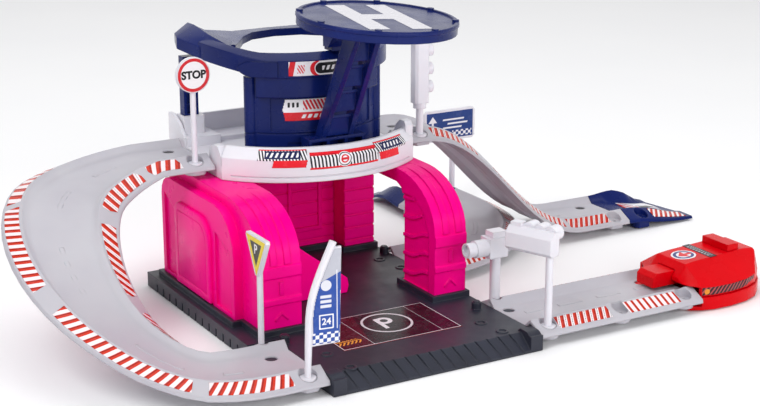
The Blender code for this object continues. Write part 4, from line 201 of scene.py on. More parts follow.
def printed(name, place, size, ground, inks, step=0.7, lean=0.0, shape=None, lift=LIFT, body="garage"):
    """Sheet of printed film, lifted off a surface. place(u, v) gives points and outward normals in mm for
    arrays of u along and v across; size is (u0, u1, v0, v1), and step is the mesh's spacing. Rows slide
    sideways by lean times v, so that the ends are slanted. inks is a list of (hex, signed distance
    function of u and v), and shape, if given, keeps only the cells whose middle it calls positive."""
    u0, u1, v0, v1 = size
    us = np.linspace(u0, u1, max(int(round((u1 - u0) / step)), 1) + 1)
    vs = np.linspace(v0, v1, max(int(round((v1 - v0) / step)), 1) + 1)
    v, u = np.meshgrid(vs, us, indexing="ij")
    u = u + lean * (v - 0.5 * (v0 + v1))
    points, normals = place(u, v)
    points = (points + lift * normals) * MM
    index = np.arange(u.size).reshape(u.shape)
    quads = np.stack([index[:-1, :-1], index[:-1, 1:], index[1:, 1:], index[1:, :-1]], -1).reshape(-1, 4)
    if shape:
        middle_u, middle_v = (0.25 * (grid[:-1, :-1] + grid[:-1, 1:] + grid[1:, 1:] + grid[1:, :-1])
                              for grid in (u, v))
        quads = quads[(shape(middle_u, middle_v) > 0.0).reshape(-1)]
    used, quads = np.unique(quads, return_inverse=True)
    quads = quads.reshape(-1, 4)
    co, out = points.reshape(-1, 3)[used], normals.reshape(-1, 3)[used]
    a, b, c = co[quads[0, :3]]
    if np.dot(np.cross(b - a, c - b), out[quads[0, 0]]) < 0.0:
        quads = quads[:, ::-1]
    mesh = bpy.data.meshes.new(name)
    mesh.from_pydata(co.tolist(), [], quads.tolist())
    flat_u, flat_v = u.reshape(-1)[used], v.reshape(-1)[used]
    for number, (_, distance) in enumerate(inks):
        layer = mesh.attributes.new(f"ink_{number}", "FLOAT", "POINT")
        layer.data.foreach_set("value", np.asarray(distance(flat_u, flat_v), np.float32).reshape(-1))
    mesh.shade_smooth()
    mesh.materials.append(ink(f"{name} PVC film", ground, [hue for hue, _ in inks]))
    thick = placed(name, mesh, body).modifiers.new("Film", "SOLIDIFY")
    thick.thickness = FILM * MM
    thick.offset = -1.0


def block(u0, u1, v0, v1, slant=0.0):
    """Distance inside an upright rectangle, its sides slanted by slant times height above its middle."""
    middle_u, middle_v = 0.5 * (u0 + u1), 0.5 * (v0 + v1)

    def distance(u, v):
        across = u - slant * (v - middle_v)
        return np.minimum(0.5 * (u1 - u0) - np.abs(across - middle_u), 0.5 * (v1 - v0) - np.abs(v - middle_v))
    return distance


def ring(u0, v0, radius, width):
    """Distance inside a ring of that radius and line width; a width of two radii fills it."""
    def distance(u, v):
        return 0.5 * width - np.abs(np.hypot(u - u0, v - v0) - (radius - 0.5 * width))
    return distance


def bars(pitch, share, slant, start=0.0):
    """Distance inside a row of bars that repeat every pitch and cover a share of it."""
    def distance(u, v):
        phase = (u - start + slant * v) / pitch
        off = np.abs(phase - np.floor(phase) - 0.5)
        return (0.5 * share - off) * pitch / math.sqrt(1.0 + slant * slant)
    return distance


def both(*parts):
    """Overlap of shapes: the least of their distances."""
    return lambda u, v: np.minimum.reduce([part(u, v) for part in parts])


def either(*parts):
    """Union of shapes: the greatest of their distances."""
    return lambda u, v: np.maximum.reduce([part(u, v) for part in parts])


def without(whole, part):
    """One shape less another."""
    return lambda u, v: np.minimum(whole(u, v), -part(u, v))


ALONG_X, ALONG_Y, UP = np.eye(3)


def flat_on(origin, along, up):
    """Plane through origin with unit directions along and up; its normal is their cross product."""
    normal = np.cross(along, up)

    def place(u, v):
        points = np.array(origin) + u[..., None] * along + v[..., None] * up
        return points, np.broadcast_to(normal, points.shape)
    return place


def chevrons(u0, v0, count, pitch, half, width):
    """Row of arrowheads along u: bars folded about their middle line."""
    def distance(u, v):
        fold = u - u0 + np.abs(v - v0) * 0.8
        phase = fold / pitch
        off = np.abs(phase - np.floor(phase) - 0.5) * pitch
        inside = np.minimum(0.5 * width - off, half - np.abs(v - v0))
        return np.minimum(inside, np.minimum(fold, count * pitch - fold))
    return distance


BAY_LEFT, BAY_RIGHT, BAY_FRONT, BAY_BACK = BAY = (-33.0, 43.4, -74.0, -28.6)
FLOOR_Z = 9.0
RED_INK = "#d8212c"


def inside_bay(inset):
    """Rectangle that lies inset within the bay's edges."""
    return block(BAY_LEFT + inset, BAY_RIGHT - inset, BAY_FRONT + inset, BAY_BACK - inset)


printed(
    "bay_print", flat_on((0.0, 0.0, FLOOR_Z), ALONG_X, ALONG_Y), BAY, "#1b1418",
    [
        ("#4c1620", block(BAY_LEFT, BAY_LEFT + 24.0, BAY_FRONT, BAY_BACK, 0.25)),
        (RED_INK, block(BAY_LEFT, BAY_RIGHT, BAY_FRONT, BAY_FRONT + 0.7)),
        ("#d8d4da", either(without(inside_bay(0.6), inside_bay(1.3)), ring(9.0, -48.0, 15.0, 1.4),
                           block(-13.6, -13.0, BAY_FRONT + 1.0, BAY_BACK - 1.0),
                           block(30.6, 31.2, BAY_FRONT + 1.0, BAY_BACK - 1.0))),
        ("#e89a3c", chevrons(-30.5, -64.0, 6, 2.5, 3.4, 1.2)),
        ("#e6e2e8", either(block(4.0, 6.6, -56.0, -40.0),
                           without(ring(9.0, -44.5, 5.0, 2.6), block(0.0, 5.0, -60.0, -30.0)))),
    ], 0.8,
)


# Pink walls. Glossy magenta ABS mouldings pushed into the base's sockets and screwed from below:
# the panelled left block, the vaulted front pillar with its lintel, the back pillar and the grooved
# back wall. The dye is strong and the gloss low, so they look deep magenta from every side.

PINK = moulded("magenta moulded ABS", "#ff008e", "#fb0086", roughness=0.3, grain=2.4, depth=0.008,
               rounding=1.0, shine=0.06)
for node in ("left_wall_block", "front_right_pillar", "back_right_pillar", "back_wall", "garage_slide"):
    dressed(node, f"{node}_moulding", PINK)

# Raised panel of the left block's outer face. It is part of the same moulding: a soft-edged plate with a
# fine groove that runs inside its rim. PANEL_RINGS gives how far each ring lies in and off the wall.
PANEL_BACK, PANEL_FRONT, PANEL_FOOT, PANEL_TOP = 69.4, 19.4, 12.9, 63.6
PANEL_CORNERS = (7.0, 15.0, 1.2, 1.2)
PANEL_RINGS = ((0.0, -0.3), (0.0, 1.2), (0.25, 1.75), (0.8, 2.0),
               (4.4, 2.0), (4.6, 1.7), (5.1, 1.7), (5.3, 2.0))
PANEL_ARC = np.radians(np.linspace(0.0, 90.0, 9))


def panel_ring(inset, lift, wall_x):
    """Rectangle drawn in by inset, its corners rounded by their own radii less the same inset, and
    lifted off the wall. It runs from the top back corner to the top front, bottom front and bottom back."""
    spans = ((PANEL_BACK, PANEL_TOP, 1.0, 1.0), (PANEL_FRONT, PANEL_TOP, -1.0, 1.0),
             (PANEL_FRONT, PANEL_FOOT, -1.0, -1.0), (PANEL_BACK, PANEL_FOOT, 1.0, -1.0))
    points = []
    for number, (y, z, toward_y, toward_z) in enumerate(spans):
        radius = max(PANEL_CORNERS[number] - inset, 0.1)
        turn = PANEL_ARC if number % 2 == 0 else PANEL_ARC[::-1]
        points.append(np.stack([
            np.full(turn.shape, wall_x - lift),
            y - toward_y * (inset + radius) + toward_y * radius * np.cos(turn),
            z - toward_z * (inset + radius) + toward_z * radius * np.sin(turn),
        ], -1))
    return np.concatenate(points)


def loft(name, rings, material):
    """Closed skin over a stack of rings of points in mm: quads from each ring to the next, and one face
    over the first and over the last."""
    count, sides = rings.shape[:2]
    index = np.arange(count * sides).reshape(count, sides)
    turned = np.roll(index, -1, axis=1)
    quads = np.stack([index[:-1], turned[:-1], turned[1:], index[1:]], -1).reshape(-1, 4)
    mesh = bpy.data.meshes.new(name)
    mesh.from_pydata((rings.reshape(-1, 3) * MM).tolist(), [],
                     [*quads.tolist(), index[-1].tolist(), index[0][::-1].tolist()])
    bm = bmesh.new()
    bm.from_mesh(mesh)
    bmesh.ops.recalc_face_normals(bm, faces=bm.faces)
    bm.to_mesh(mesh)
    bm.free()
    mesh.materials.append(material)
    return mesh


wall_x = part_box("left_wall_block")[0].x / MM
rings = [panel_ring(inset, lift, wall_x) for inset, lift in PANEL_RINGS]
panel = loft("left_wall_panel", np.stack(rings), PINK)
panel.shade_smooth()
panel.set_sharp_from_angle(angle=math.radians(50.0))
placed("left_wall_panel", panel)


# Deck. One white ABS moulding: road, curved parapet, left shoulder, socket for the rear post.

# White ABS: a little light enters it, which softens its edges and shadows
WHITE = moulded("white moulded ABS", "#e2e0e7", "#dbd9e2", roughness=0.34, grain=1.0, depth=0.02,
                rounding=0.9, glow=0.08)
dressed("deck", "deck_moulding", WHITE)

# Parapet prints. Three PVC films wrapped round the parapet's face, striped in black and white with red
# edges and tabs, and a ringed roundel in the middle.

TOWER_X, TOWER_Y = 17.0, 90.0
FASCIA_RADIUS, FASCIA_FOOT, FASCIA_UPRIGHT = 83.8, 80.0, 13.5
FASCIA_LEAN, FASCIA_RUN = 5.5, 6.0
PARAPET_MIDDLE = -92.6
BLACK_INK, WHITE_INK, BLUE_INK, BRIGHT_RED_INK = "#23232c", "#f2f0f4", "#1d2450", "#e8212e"


def on_parapet(u, v):
    """u is arc length from the middle of the parapet, v the height along its profile: upright at first,
    then leaning back. The normal follows the profile."""
    angle = math.radians(PARAPET_MIDDLE) + u / FASCIA_RADIUS
    slope = math.hypot(FASCIA_LEAN, FASCIA_RUN)
    past = np.clip((v - FASCIA_UPRIGHT) / slope, 0.0, 1.0)
    radius = FASCIA_RADIUS - FASCIA_LEAN * past
    z = FASCIA_FOOT + np.minimum(v, FASCIA_UPRIGHT) + FASCIA_RUN * past
    points = np.stack([TOWER_X + radius * np.cos(angle), TOWER_Y + radius * np.sin(angle), z], -1)
    tip = np.where(past > 0.0, math.atan2(FASCIA_LEAN, FASCIA_RUN), 0.0)
    normals = np.stack([np.cos(angle) * np.cos(tip), np.sin(angle) * np.cos(tip), np.sin(tip)], -1)
    return points, normals


def arc(degrees, radius=FASCIA_RADIUS, middle=PARAPET_MIDDLE):
    """Arc length in mm from the middle line to an angle round the tower."""
    return math.radians(degrees - middle) * radius


def striped_label(side, start, end, rows, plate, edge, tab, outline):
    """Film of slanted black and white stripes under a blue plate with white bars, with a red line along
    its top and a red tab. rows, plate and edge are pairs of heights; tab and outline are shapes."""
    bar_rows = (plate[0] + 1.0, plate[1] - 1.0)
    printed(
        f"parapet_print_{side}", on_parapet, (start, end, *rows), BLACK_INK,
        [
            (WHITE_INK, bars(1.9, 0.5, 0.25)),
            (BLUE_INK, block(start + 4.0, end - 4.0, *plate)),
            (WHITE_INK, both(block(start + 5.0, end - 5.0, *bar_rows), bars(3.1, 0.45, -0.4))),
            (BRIGHT_RED_INK, either(block(start, end, *edge), tab)),
        ], 0.45, shape=outline,
    )


start, end = arc(-128.6), arc(-108.6)
striped_label("left", start, end, (9.0, 20.4), (14.2, 19.4), (19.7, 20.6),
              block(start + 9.0, end, 8.0, 13.3, 0.25),
              either(block(start, end, 13.2, 21.0), block(start + 9.0, end - 0.5, 8.0, 14.0, 0.25)))
start, end, roundel = arc(-107.6), arc(-77.0), arc(-93.0)
printed(
    "parapet_print_middle", on_parapet, (start, end, 7.4, 18.0), BLACK_INK,
    [
        (WHITE_INK, bars(2.2, 0.5, 0.12)),
        (BRIGHT_RED_INK, either(block(start, end, 15.6, 19.0), block(start, end, 7.0, 8.5))),
        (BLACK_INK, either(block(start, roundel - 5.0, 15.9, 16.3), block(roundel + 5.0, end, 15.9, 16.3))),
        (WHITE_INK, ring(roundel, 12.4, 4.6, 9.2)),
        (BLACK_INK, ring(roundel, 12.4, 4.2, 0.6)),
        (RED_INK, either(block(roundel - 2.2, roundel + 2.2, 11.7, 13.1, 0.5),
                         ring(roundel, 12.4, 2.6, 0.9))),
    ], 0.45,
)
start, end = arc(-77.6), arc(-58.6)
striped_label("right", start, end, (7.8, 19.6), (13.4, 18.2), (18.7, 19.8),
              block(start + 2.0, end - 8.0, 7.0, 12.5, -0.25),
              either(block(start, end, 12.3, 20.0), block(start + 2.5, end - 8.5, 7.0, 13.0, -0.25)))


# Tower. Navy ABS: the curved facade between its round columns, the ring roof that clips on top of it,
# and the channel post that carries the roof's left tip.

# Navy ABS: the dye is almost black, so the soft gloss on edges and faces draws its forms
NAVY = moulded("navy moulded ABS", "#0e1f62", "#0b1954", roughness=0.26, grain=1.0, depth=0.02,
               rounding=0.9, shine=0.17)
for node, name in (("tower_facade", "facade_moulding"), ("ring_roof", "roof_moulding"),
                   ("back_left_post", "rear_post_moulding")):
    dressed(node, name, NAVY)

# Tower prints. PVC films in white and red: one on the facade's shallow recess, one on the roof's band.

FACADE_PRINT_RADIUS, BAND_PRINT_RADIUS, PRINT_MIDDLE = 57.6, 62.0, -100.0
FILM_WHITE, LETTER_BLACK = "#eeecf0", "#17171c"


def round_tower(radius):
    """u is arc length round the tower at that radius, v the height above the ground."""
    def place(u, v):
        angle = math.radians(PRINT_MIDDLE) + u / radius
        points = np.stack([TOWER_X + radius * np.cos(angle), TOWER_Y + radius * np.sin(angle), v], -1)
        return points, np.stack([np.cos(angle), np.sin(angle), np.zeros_like(angle)], -1)
    return place


start, end = (arc(degrees, FACADE_PRINT_RADIUS, PRINT_MIDDLE) for degrees in (-119.0, -89.5))
letters = [block(start + 3.0 + 2.6 * i, start + 4.4 + 2.6 * i, 118.6, 121.6) for i in range(3)]
printed(
    "facade_print", round_tower(FACADE_PRINT_RADIUS), (start, end, 110.5, 123.4),
    FILM_WHITE,
    [
        ("#d4202c", either(block(start, end, 110.0, 115.6),
                           both(block(-7.0, 12.0, 117.0, 123.0), bars(2.3, 0.6, 0.5)))),
        (LETTER_BLACK, either(*letters)),
        (FILM_WHITE, both(block(-8.0, 12.0, 112.0, 114.2), bars(3.6, 0.6, -0.5))),
    ], 0.45,
    shape=lambda u, v: np.minimum(u - start - 0.25 * np.abs(v - 117.0), end - u),
)
start, end = (arc(degrees, BAND_PRINT_RADIUS, PRINT_MIDDLE) for degrees in (-115.2, -80.0))
printed(
    "roof_band_print", round_tower(BAND_PRINT_RADIUS), (start, end, 138.2, 146.6), FILM_WHITE,
    [
        (RED_INK, either(block(start, start + 3.4, 138.0, 147.0, 0.2),
                         both(block(start + 5.0, start + 9.5, 139.6, 144.6), bars(1.6, 0.55, 0.6)))),
        (RED_INK, ring(start + 17.0, 142.3, 4.4, 8.8)),
        (FILM_WHITE, ring(start + 19.5, 142.3, 4.2, 8.4)),
        (LETTER_BLACK, either(ring(start + 19.0, 142.3, 3.2, 6.4),
                              block(start + 19.0, start + 34.0, 139.1, 145.5))),
        (FILM_WHITE, both(block(start + 20.0, start + 33.0, 141.0, 143.6), bars(3.2, 0.55, -0.4))),
    ], 0.45,
)


# Helipad. Navy ABS: the ladder strut on its foot box, the clip on the roof's band, and the landing
# disc with eight nubs round its rim. Its deck carries a pale grey film cut as a letter H.

for node, name in (("helipad_strut", "strut_moulding"), ("helipad_clip", "clip_moulding"),
                   ("helipad_disc", "disc_moulding")):
    dressed(node, name, NAVY)

PAD_CENTRE = np.array([17.0, -23.8, 180.2])
PAD_RECESS = 0.8
PAD_ROLL, PAD_NOD, LETTER_TURN = math.radians(4.1), math.radians(1.0), math.radians(-6.7)
VIEW_AHEAD, VIEW_RIGHT = (0.5, 0.866, 0.0), (0.866, -0.5, 0.0)


def pad_axes():
    """Right, ahead and up directions of the disc, which rolls and nods as seen from the camera's side,
    turned to the letter's heading."""
    turn = Matrix.Rotation(PAD_ROLL, 3, Vector(VIEW_AHEAD).normalized())
    turn = turn @ Matrix.Rotation(PAD_NOD, 3, Vector(VIEW_RIGHT).normalized())
    turn = turn @ Matrix.Rotation(LETTER_TURN, 3, "Z")
    return [np.array(turn @ Vector(axis)) for axis in ((1, 0, 0), (0, 1, 0), (0, 0, 1))]


pad_right, pad_ahead, pad_up = pad_axes()
letter_h = either(block(-18.5, -6.5, -33.0, 33.0), block(6.5, 18.5, -33.0, 33.0), block(-8.0, 8.0, -6.5, 6.5))
printed("pad_letter", flat_on(PAD_CENTRE - PAD_RECESS * pad_up, pad_right, pad_ahead),
        (-19.0, 19.0, -33.5, 33.5), "#cfcdd4", [], 0.5, shape=letter_h)


# Tracks. Light grey polypropylene troughs: floor, short slope, kerb falling outwards, thin skirt. Red and
# white warning films run along the kerbs between the sign sockets, and raised dashes mark the lane.

# Grey polypropylene: waxier and duller than ABS, with broad, weak highlights
GREY = moulded("light grey moulded polypropylene", "#b9b7be", "#b2afb8", roughness=0.38, grain=0.9,
               depth=0.02, rounding=1.1, glow=0.1, ior=1.49, shine=0.4)
FLOOR_HALF, WALL_RUN, WALL_RISE, KERB_RUN, KERB_DROP = 13.8, 4.7, 4.5, 10.8, 5.3
GROUND, ROAD = 9.0, 88.0
TRACK_CORNER = 50.0
# The second ink is painted shadow: the deeper red band along one side of each orange-red warning bar
ORANGE_INK, SHADOW_EDGE_RED = "#c92c10", "#951007"


def ease(t):
    """Smooth step: 3t squared less 2t cubed, held at 0 and 1 outside the range."""
    t = np.clip(t, 0.0, 1.0)
    return t * t * (3.0 - 2.0 * t)


def on_track(stations, side, across, up, lean_normal):
    """Surface along a track: u is the station number, v the share from one line of the section to another.
    Stations are rows of x, y, z, heading and lean; across and up give each line's place in the section."""
    stations = np.array(stations, float)

    def place(u, v):
        spot = np.clip(u, 0.0, len(stations) - 1.0001)
        low = np.floor(spot).astype(int)
        part = (spot - low)[..., None]
        out = side * (across[0] + (across[1] - across[0]) * v)
        rise = up[0] + (up[1] - up[0]) * v
        ends = []
        for index in (low, low + 1):
            x, y, z, heading, lean = np.moveaxis(stations[index], -1, 0)
            flat, drop = out * np.cos(lean), out * np.sin(lean)
            ends.append(np.stack([x + flat * np.sin(heading), y - flat * np.cos(heading),
                                  z + rise - drop], -1))
        points = ends[0] * (1.0 - part) + ends[1] * part
        heading = stations[low][..., 3] * (1.0 - part[..., 0]) + stations[low + 1][..., 3] * part[..., 0]
        normals = np.stack([side * lean_normal * np.sin(heading), -side * lean_normal * np.cos(heading),
                            np.full(heading.shape, math.sqrt(1.0 - lean_normal ** 2))], -1)
        return points, normals
    return place


def kerb_film(name, stations, start, end, side, pitch, share, slant, widen=0.0, cut=0.0, thin=None):
    """Warning film on a kerb from one station number to another. The stripes are spaced by true length:
    station numbers are stretched to millimetres along the kerb's middle. Each orange-red bar has a deeper red
    edge that is painted shadow along one side, and its white neighbour may carry a thin grey line. cut slants
    the film's ends."""
    edge = FLOOR_HALF + widen + WALL_RUN
    width = math.hypot(KERB_RUN, KERB_DROP)
    place = on_track(stations, side, (edge, edge + KERB_RUN), (WALL_RISE, WALL_RISE - KERB_DROP),
                     KERB_DROP / width)
    numbers = np.linspace(start, end, 200)
    line = place(numbers, np.full(numbers.shape, 0.5))[0]
    length = np.concatenate([[0.0], np.cumsum(np.linalg.norm(np.diff(line, axis=0), axis=1))])

    def by_length(u, v):
        return place(np.interp(u, length, numbers), v / width)
    # Orange-red bars, each with a band of painted shadow in deeper red along one side
    inks = [(ORANGE_INK, bars(pitch, share, slant)),
            (SHADOW_EDGE_RED, bars(pitch, 0.3 * share, slant, 0.22 * share * pitch))]
    if thin:
        inks.append(("#6a6a74", bars(pitch, thin, slant, 0.5 * pitch)))
    printed(name, by_length, (0.0, length[-1], 0.14 * width, 0.88 * width), "#ebe2e5", inks,
            0.6, lean=cut)


DASH_SECTION = ((-1.6, 0.02), (-1.2, 0.28), (1.2, 0.28), (1.6, 0.02), (1.6, -0.3), (-1.6, -0.3))


def lane_dashes(track, stations, offset, spans):
    """Raised dashes on a track's floor: flat-topped bars with sloping sides that follow the lane. The
    section's points are (out, up) from the lane's line, and its foot is sunk in the floor."""
    for number, (start, end) in enumerate(spans, 1):
        numbers = np.linspace(start, end, 16)
        lines = []
        for out, up in DASH_SECTION:
            place = on_track(stations, 1.0, (offset + out, offset + out), (up, up), 0.0)
            lines.append(place(numbers, np.zeros(numbers.shape))[0])
        name = f"{track}_lane_dash_{number}"
        placed(name, loft(name, np.stack(lines, 1), GREY))


# Left ramp. A half turn, banked inwards, that climbs from the base to the deck.

LEFT_X, LEFT_Y, LEFT_RADIUS, LEFT_WIDEN, LEFT_OUT = -83.6, 5.4, 73.1, 2.2, 5.3
LEFT_SAG, LEFT_BANK = 10.0, 9.6
LEFT_FIRST_X, LEFT_LAST_X = -57.9, -52.0
LEFT_STEPS = 28


def left_stations():
    """Half circle whose low end swings out, whose height eases from ground to road less a sag that
    follows the sine of the turn, and whose lean follows the same sine."""
    t = np.linspace(0.0, 1.0, LEFT_STEPS + 1)
    angle = np.radians(-90.0 - 180.0 * t)
    reach = LEFT_RADIUS + LEFT_OUT * (1.0 - ease(t / 0.3))
    x = LEFT_X + reach * np.cos(angle)
    y = LEFT_Y + reach * np.sin(angle)
    bend = np.sin(math.pi * t)
    z = np.maximum(GROUND + (ROAD - GROUND) * ease((t - 0.02) / 0.73) - LEFT_SAG * bend, GROUND)
    lean = math.radians(LEFT_BANK) * bend * ease(t / 0.2)
    before = np.maximum(np.arange(LEFT_STEPS + 1) - 1, 0)
    after = np.minimum(np.arange(LEFT_STEPS + 1) + 1, LEFT_STEPS)
    heading = np.unwrap(np.arctan2(y[after] - y[before], x[after] - x[before]))
    heading[0] = math.pi
    heading = np.where(heading < 0.0, heading + 2.0 * math.pi, heading)
    heading[-1] = 0.0 if heading[-2] < math.pi else 2.0 * math.pi
    rows = np.stack([x, y, z, heading, lean], 1)
    first = [LEFT_FIRST_X, y[0], GROUND, math.pi, 0.0]
    last = [LEFT_LAST_X, y[-1], ROAD, heading[-1], 0.0]
    return np.vstack([first, rows, last])


LEFT = left_stations()
dressed("left_ramp", "left_ramp_moulding", GREY, TRACK_CORNER)
for number, (start, end, pitch) in enumerate(
        ((0.75, 4.0, 5.2), (4.7, 11.75, 5.2), (13.15, 18.75, 5.2), (19.2, 24.0, 8.6)), 1):
    kerb_film(f"left_outer_film_{number}", LEFT, start, end, -1.0, pitch, 0.5, -0.47, LEFT_WIDEN)
for number, (start, end, slant, thin) in enumerate(
        ((7.1, 10.4, 0.38, 0.1), (11.9, 18.3, 0.38, 0.1), (19.8, 26.6, 0.2, 0.1),
         (27.5, 29.4, 0.36, None)), 1):
    kerb_film(f"left_inner_film_{number}", LEFT, start, end, 1.0, 6.0, 0.55, slant, LEFT_WIDEN, 0.5, thin)
lane_dashes("left", LEFT, -1.5, ((2.0, 3.2), (5.5, 8.6), (12.2, 16.2), (19.5, 21.8), (24.8, 26.8)))


# Right ramp and its run-out. The grey S-shaped ramp falls from the deck; a navy run-out, pushed on its
# end, takes the car down to the ground. The ramp's underside has a long stiffening panel.

RIGHT_Y, RIGHT_START, RIGHT_RUN = 72.0, 88.0, 130.0
RIGHT_X = np.concatenate([[70.3], np.linspace(RIGHT_START, RIGHT_START + RIGHT_RUN, 19), [255.0]])


def right_stations():
    """Straight run whose height falls by the mean of a smooth and a smoother step."""
    t = np.clip((RIGHT_X - RIGHT_START) / RIGHT_RUN, 0.0, 1.0)
    smoother = t ** 3 * (t * (6.0 * t - 15.0) + 10.0)
    z = ROAD + (GROUND - ROAD) * (0.5 * ease(t) + 0.5 * smoother)
    zero = np.zeros_like(z)
    return np.stack([RIGHT_X, zero + RIGHT_Y, z, zero, zero], 1)


RIGHT = right_stations()
dressed("right_ramp", "right_ramp_moulding", GREY, TRACK_CORNER)
for number, (start, end, share, slant) in enumerate(
        ((2.26, 7.0, 0.58, 0.4), (9.1, 12.6, 0.5, 0.4), (12.95, 16.9, 0.55, 0.45),
         (17.4, 19.6, 0.6, 0.6)), 1):
    kerb_film(f"right_near_film_{number}", RIGHT, start, end, 1.0, 4.3, share, slant, thin=0.12)
for number, (start, end) in enumerate(((2.3, 7.2), (8.0, 12.5), (13.2, 17.2), (17.6, 19.6)), 1):
    kerb_film(f"right_far_film_{number}", RIGHT, start, end, -1.0, 4.3, 0.55, 0.4, thin=0.12)
lane_dashes("right", RIGHT, -2.0, ((1.4, 3.0), (4.2, 5.8), (14.6, 16.0), (17.4, 19.0)))

FLARE_LENGTH, FLARE_DROP, FLARE_HUMP, FLARE_SLANT, TRACK_HALF = 56.0, 6.0, 4.0, 10.0, 30.0


def on_flare(x0, y0, degrees, inner, outer, up_inner, up_outer):
    """Surface of a run-out between two lines of the section: u is the share along it, v the share across.
    Its heights fade towards the tip, its left kerb stays high and its end is slanted."""
    dx, dy = math.cos(math.radians(degrees)), math.sin(math.radians(degrees))

    def place(u, v):
        across = inner + (outer - inner) * v
        rise = up_inner + (up_outer - up_inner) * v
        keep = FLARE_HUMP * ease(u / 0.5) * (1.0 - ease((u - 0.62) / 0.38))
        fade = 1.0 - 0.8 * ease((u - 0.4) / 0.6)
        z = GROUND - FLARE_DROP * ease(u) + rise * fade + np.where(across < -FLOOR_HALF - 1.0, keep, 0.0)
        length = FLARE_LENGTH + FLARE_SLANT * (across / TRACK_HALF - 1.0) * 0.5
        distance = 0.3 + (length - 0.3) * u
        points = np.stack([x0 + distance * dx + across * dy, y0 + distance * dy - across * dx, z], -1)
        return points, np.broadcast_to(UP, points.shape)
    return place


RIGHT_END, CURVE_END = (255.0, 72.0), (166.6, 155.0)
RUNOUT_SPAN, KERB_ACROSS, ROAD_HALF, RUNOUT_LIFT = 54.0, 12.0, 12.4, 0.3
for track, (x0, y0), degrees in (("right", RIGHT_END, 0.0), ("curve", CURVE_END, 90.0)):
    dressed(f"{track}_flare", f"{track}_runout_moulding", NAVY, TRACK_CORNER)
    edge = FLOOR_HALF + WALL_RUN
    kerb = on_flare(x0, y0, degrees, edge, edge + KERB_RUN, WALL_RISE, WALL_RISE - KERB_DROP)
    # The kerb film's orange bars carry a deeper red band of painted shadow along one side, as on the tracks'
    # films
    printed(f"{track}_runout_kerb_film",
            lambda u, v, on=kerb: on(u / RUNOUT_SPAN, v / KERB_ACROSS), (22.0, 50.0, 1.6, 10.6), "#e8e4e7",
            [(ORANGE_INK, bars(4.2, 0.55, 0.7)), (SHADOW_EDGE_RED, bars(4.2, 0.18, 0.7, 0.5))],
            0.7, lift=RUNOUT_LIFT)
    road = on_flare(x0, y0, degrees, -ROAD_HALF, ROAD_HALF, 0.0, 0.0)
    printed(f"{track}_runout_floor_film",
            lambda u, v, on=road: on(u / RUNOUT_SPAN, v / (2.0 * ROAD_HALF)),
            (17.0, 50.0, 1.0, 23.0), "#b9b8c4", [
                ("#e8e6ec", block(17.0, 50.0, 0.0, 12.0, 0.6)),
                ("#c9281c", either(block(22.0, 26.0, 0.0, 24.0, 0.7), block(31.0, 33.6, 0.0, 24.0, 0.7),
                                   block(16.0, 19.5, 0.0, 24.0))),
                (LETTER_BLACK, block(35.0, 47.0, 8.0, 13.0, 0.7)),
            ], 0.8, shape=block(17.0, 50.0, 1.0, 23.0, -0.35), lift=RUNOUT_LIFT)


# Curved ground track. A level quarter turn in grey polypropylene, with warning films on both kerbs.

CURVE_X, CURVE_Y, CURVE_RADIUS, CURVE_FIRST_X = 83.6, 41.8, 83.0, 74.8
CURVE_STEPS = 14


def curve_stations():
    """Short straight, then a quarter circle to the left, then a straight to the run-out."""
    heading = np.radians(np.linspace(0.0, 90.0, CURVE_STEPS + 1))
    x = CURVE_X + CURVE_RADIUS * np.sin(heading)
    y = CURVE_Y + CURVE_RADIUS - CURVE_RADIUS * np.cos(heading)
    zero = np.zeros_like(x)
    rows = np.stack([x, y, zero + GROUND, heading, zero], 1)
    return np.vstack([[CURVE_FIRST_X, CURVE_Y, GROUND, 0.0, 0.0], rows,
                      [*CURVE_END, GROUND, 0.5 * math.pi, 0.0]])


CURVE = curve_stations()
dressed("curve_track", "curve_track_moulding", GREY, TRACK_CORNER)
for number, (start, end) in enumerate(((1.2, 4.2), (5.2, 10.0), (10.8, 14.6)), 1):
    kerb_film(f"curve_outer_film_{number}", CURVE, start, end, 1.0, 4.5, 0.5, 0.4)
for number, (start, end) in enumerate(((1.4, 6.0), (7.0, 12.8)), 1):
    kerb_film(f"curve_inner_film_{number}", CURVE, start, end, -1.0, 4.5, 0.5, 0.4)
lane_dashes("curve", CURVE, 0.0, ((2.5, 5.5), (8.0, 11.0)))


# Straight ground track. It joins the base to the launcher; its near kerb has two sign sockets to spare.

STRAIGHT_WIDEN, STRAIGHT_Y = 1.6, -74.5
STRAIGHT = [[x, STRAIGHT_Y, GROUND, 0.0, 0.0] for x in (74.8, 192.0)]
dressed("straight_track", "straight_track_moulding", GREY, TRACK_CORNER)
for name, start, end, side, pitch, share, slant, cut, thin in (
    ("near_film_1", 0.125, 0.443, 1.0, 4.5, 0.55, 0.45, -0.1, 0.1),
    ("near_film_2", 0.545, 0.87, 1.0, 4.4, 0.42, 0.0, 0.1, None),
    ("far_film", 0.16, 0.86, -1.0, 4.5, 0.55, 0.45, 0.0, None),
):
    kerb_film(f"straight_{name}", STRAIGHT, start, end, side, pitch, share, slant,
              STRAIGHT_WIDEN, cut, thin)
lane_dashes("straight", STRAIGHT, -1.0, ((0.10, 0.2), (0.30, 0.44), (0.54, 0.68), (0.78, 0.9)))
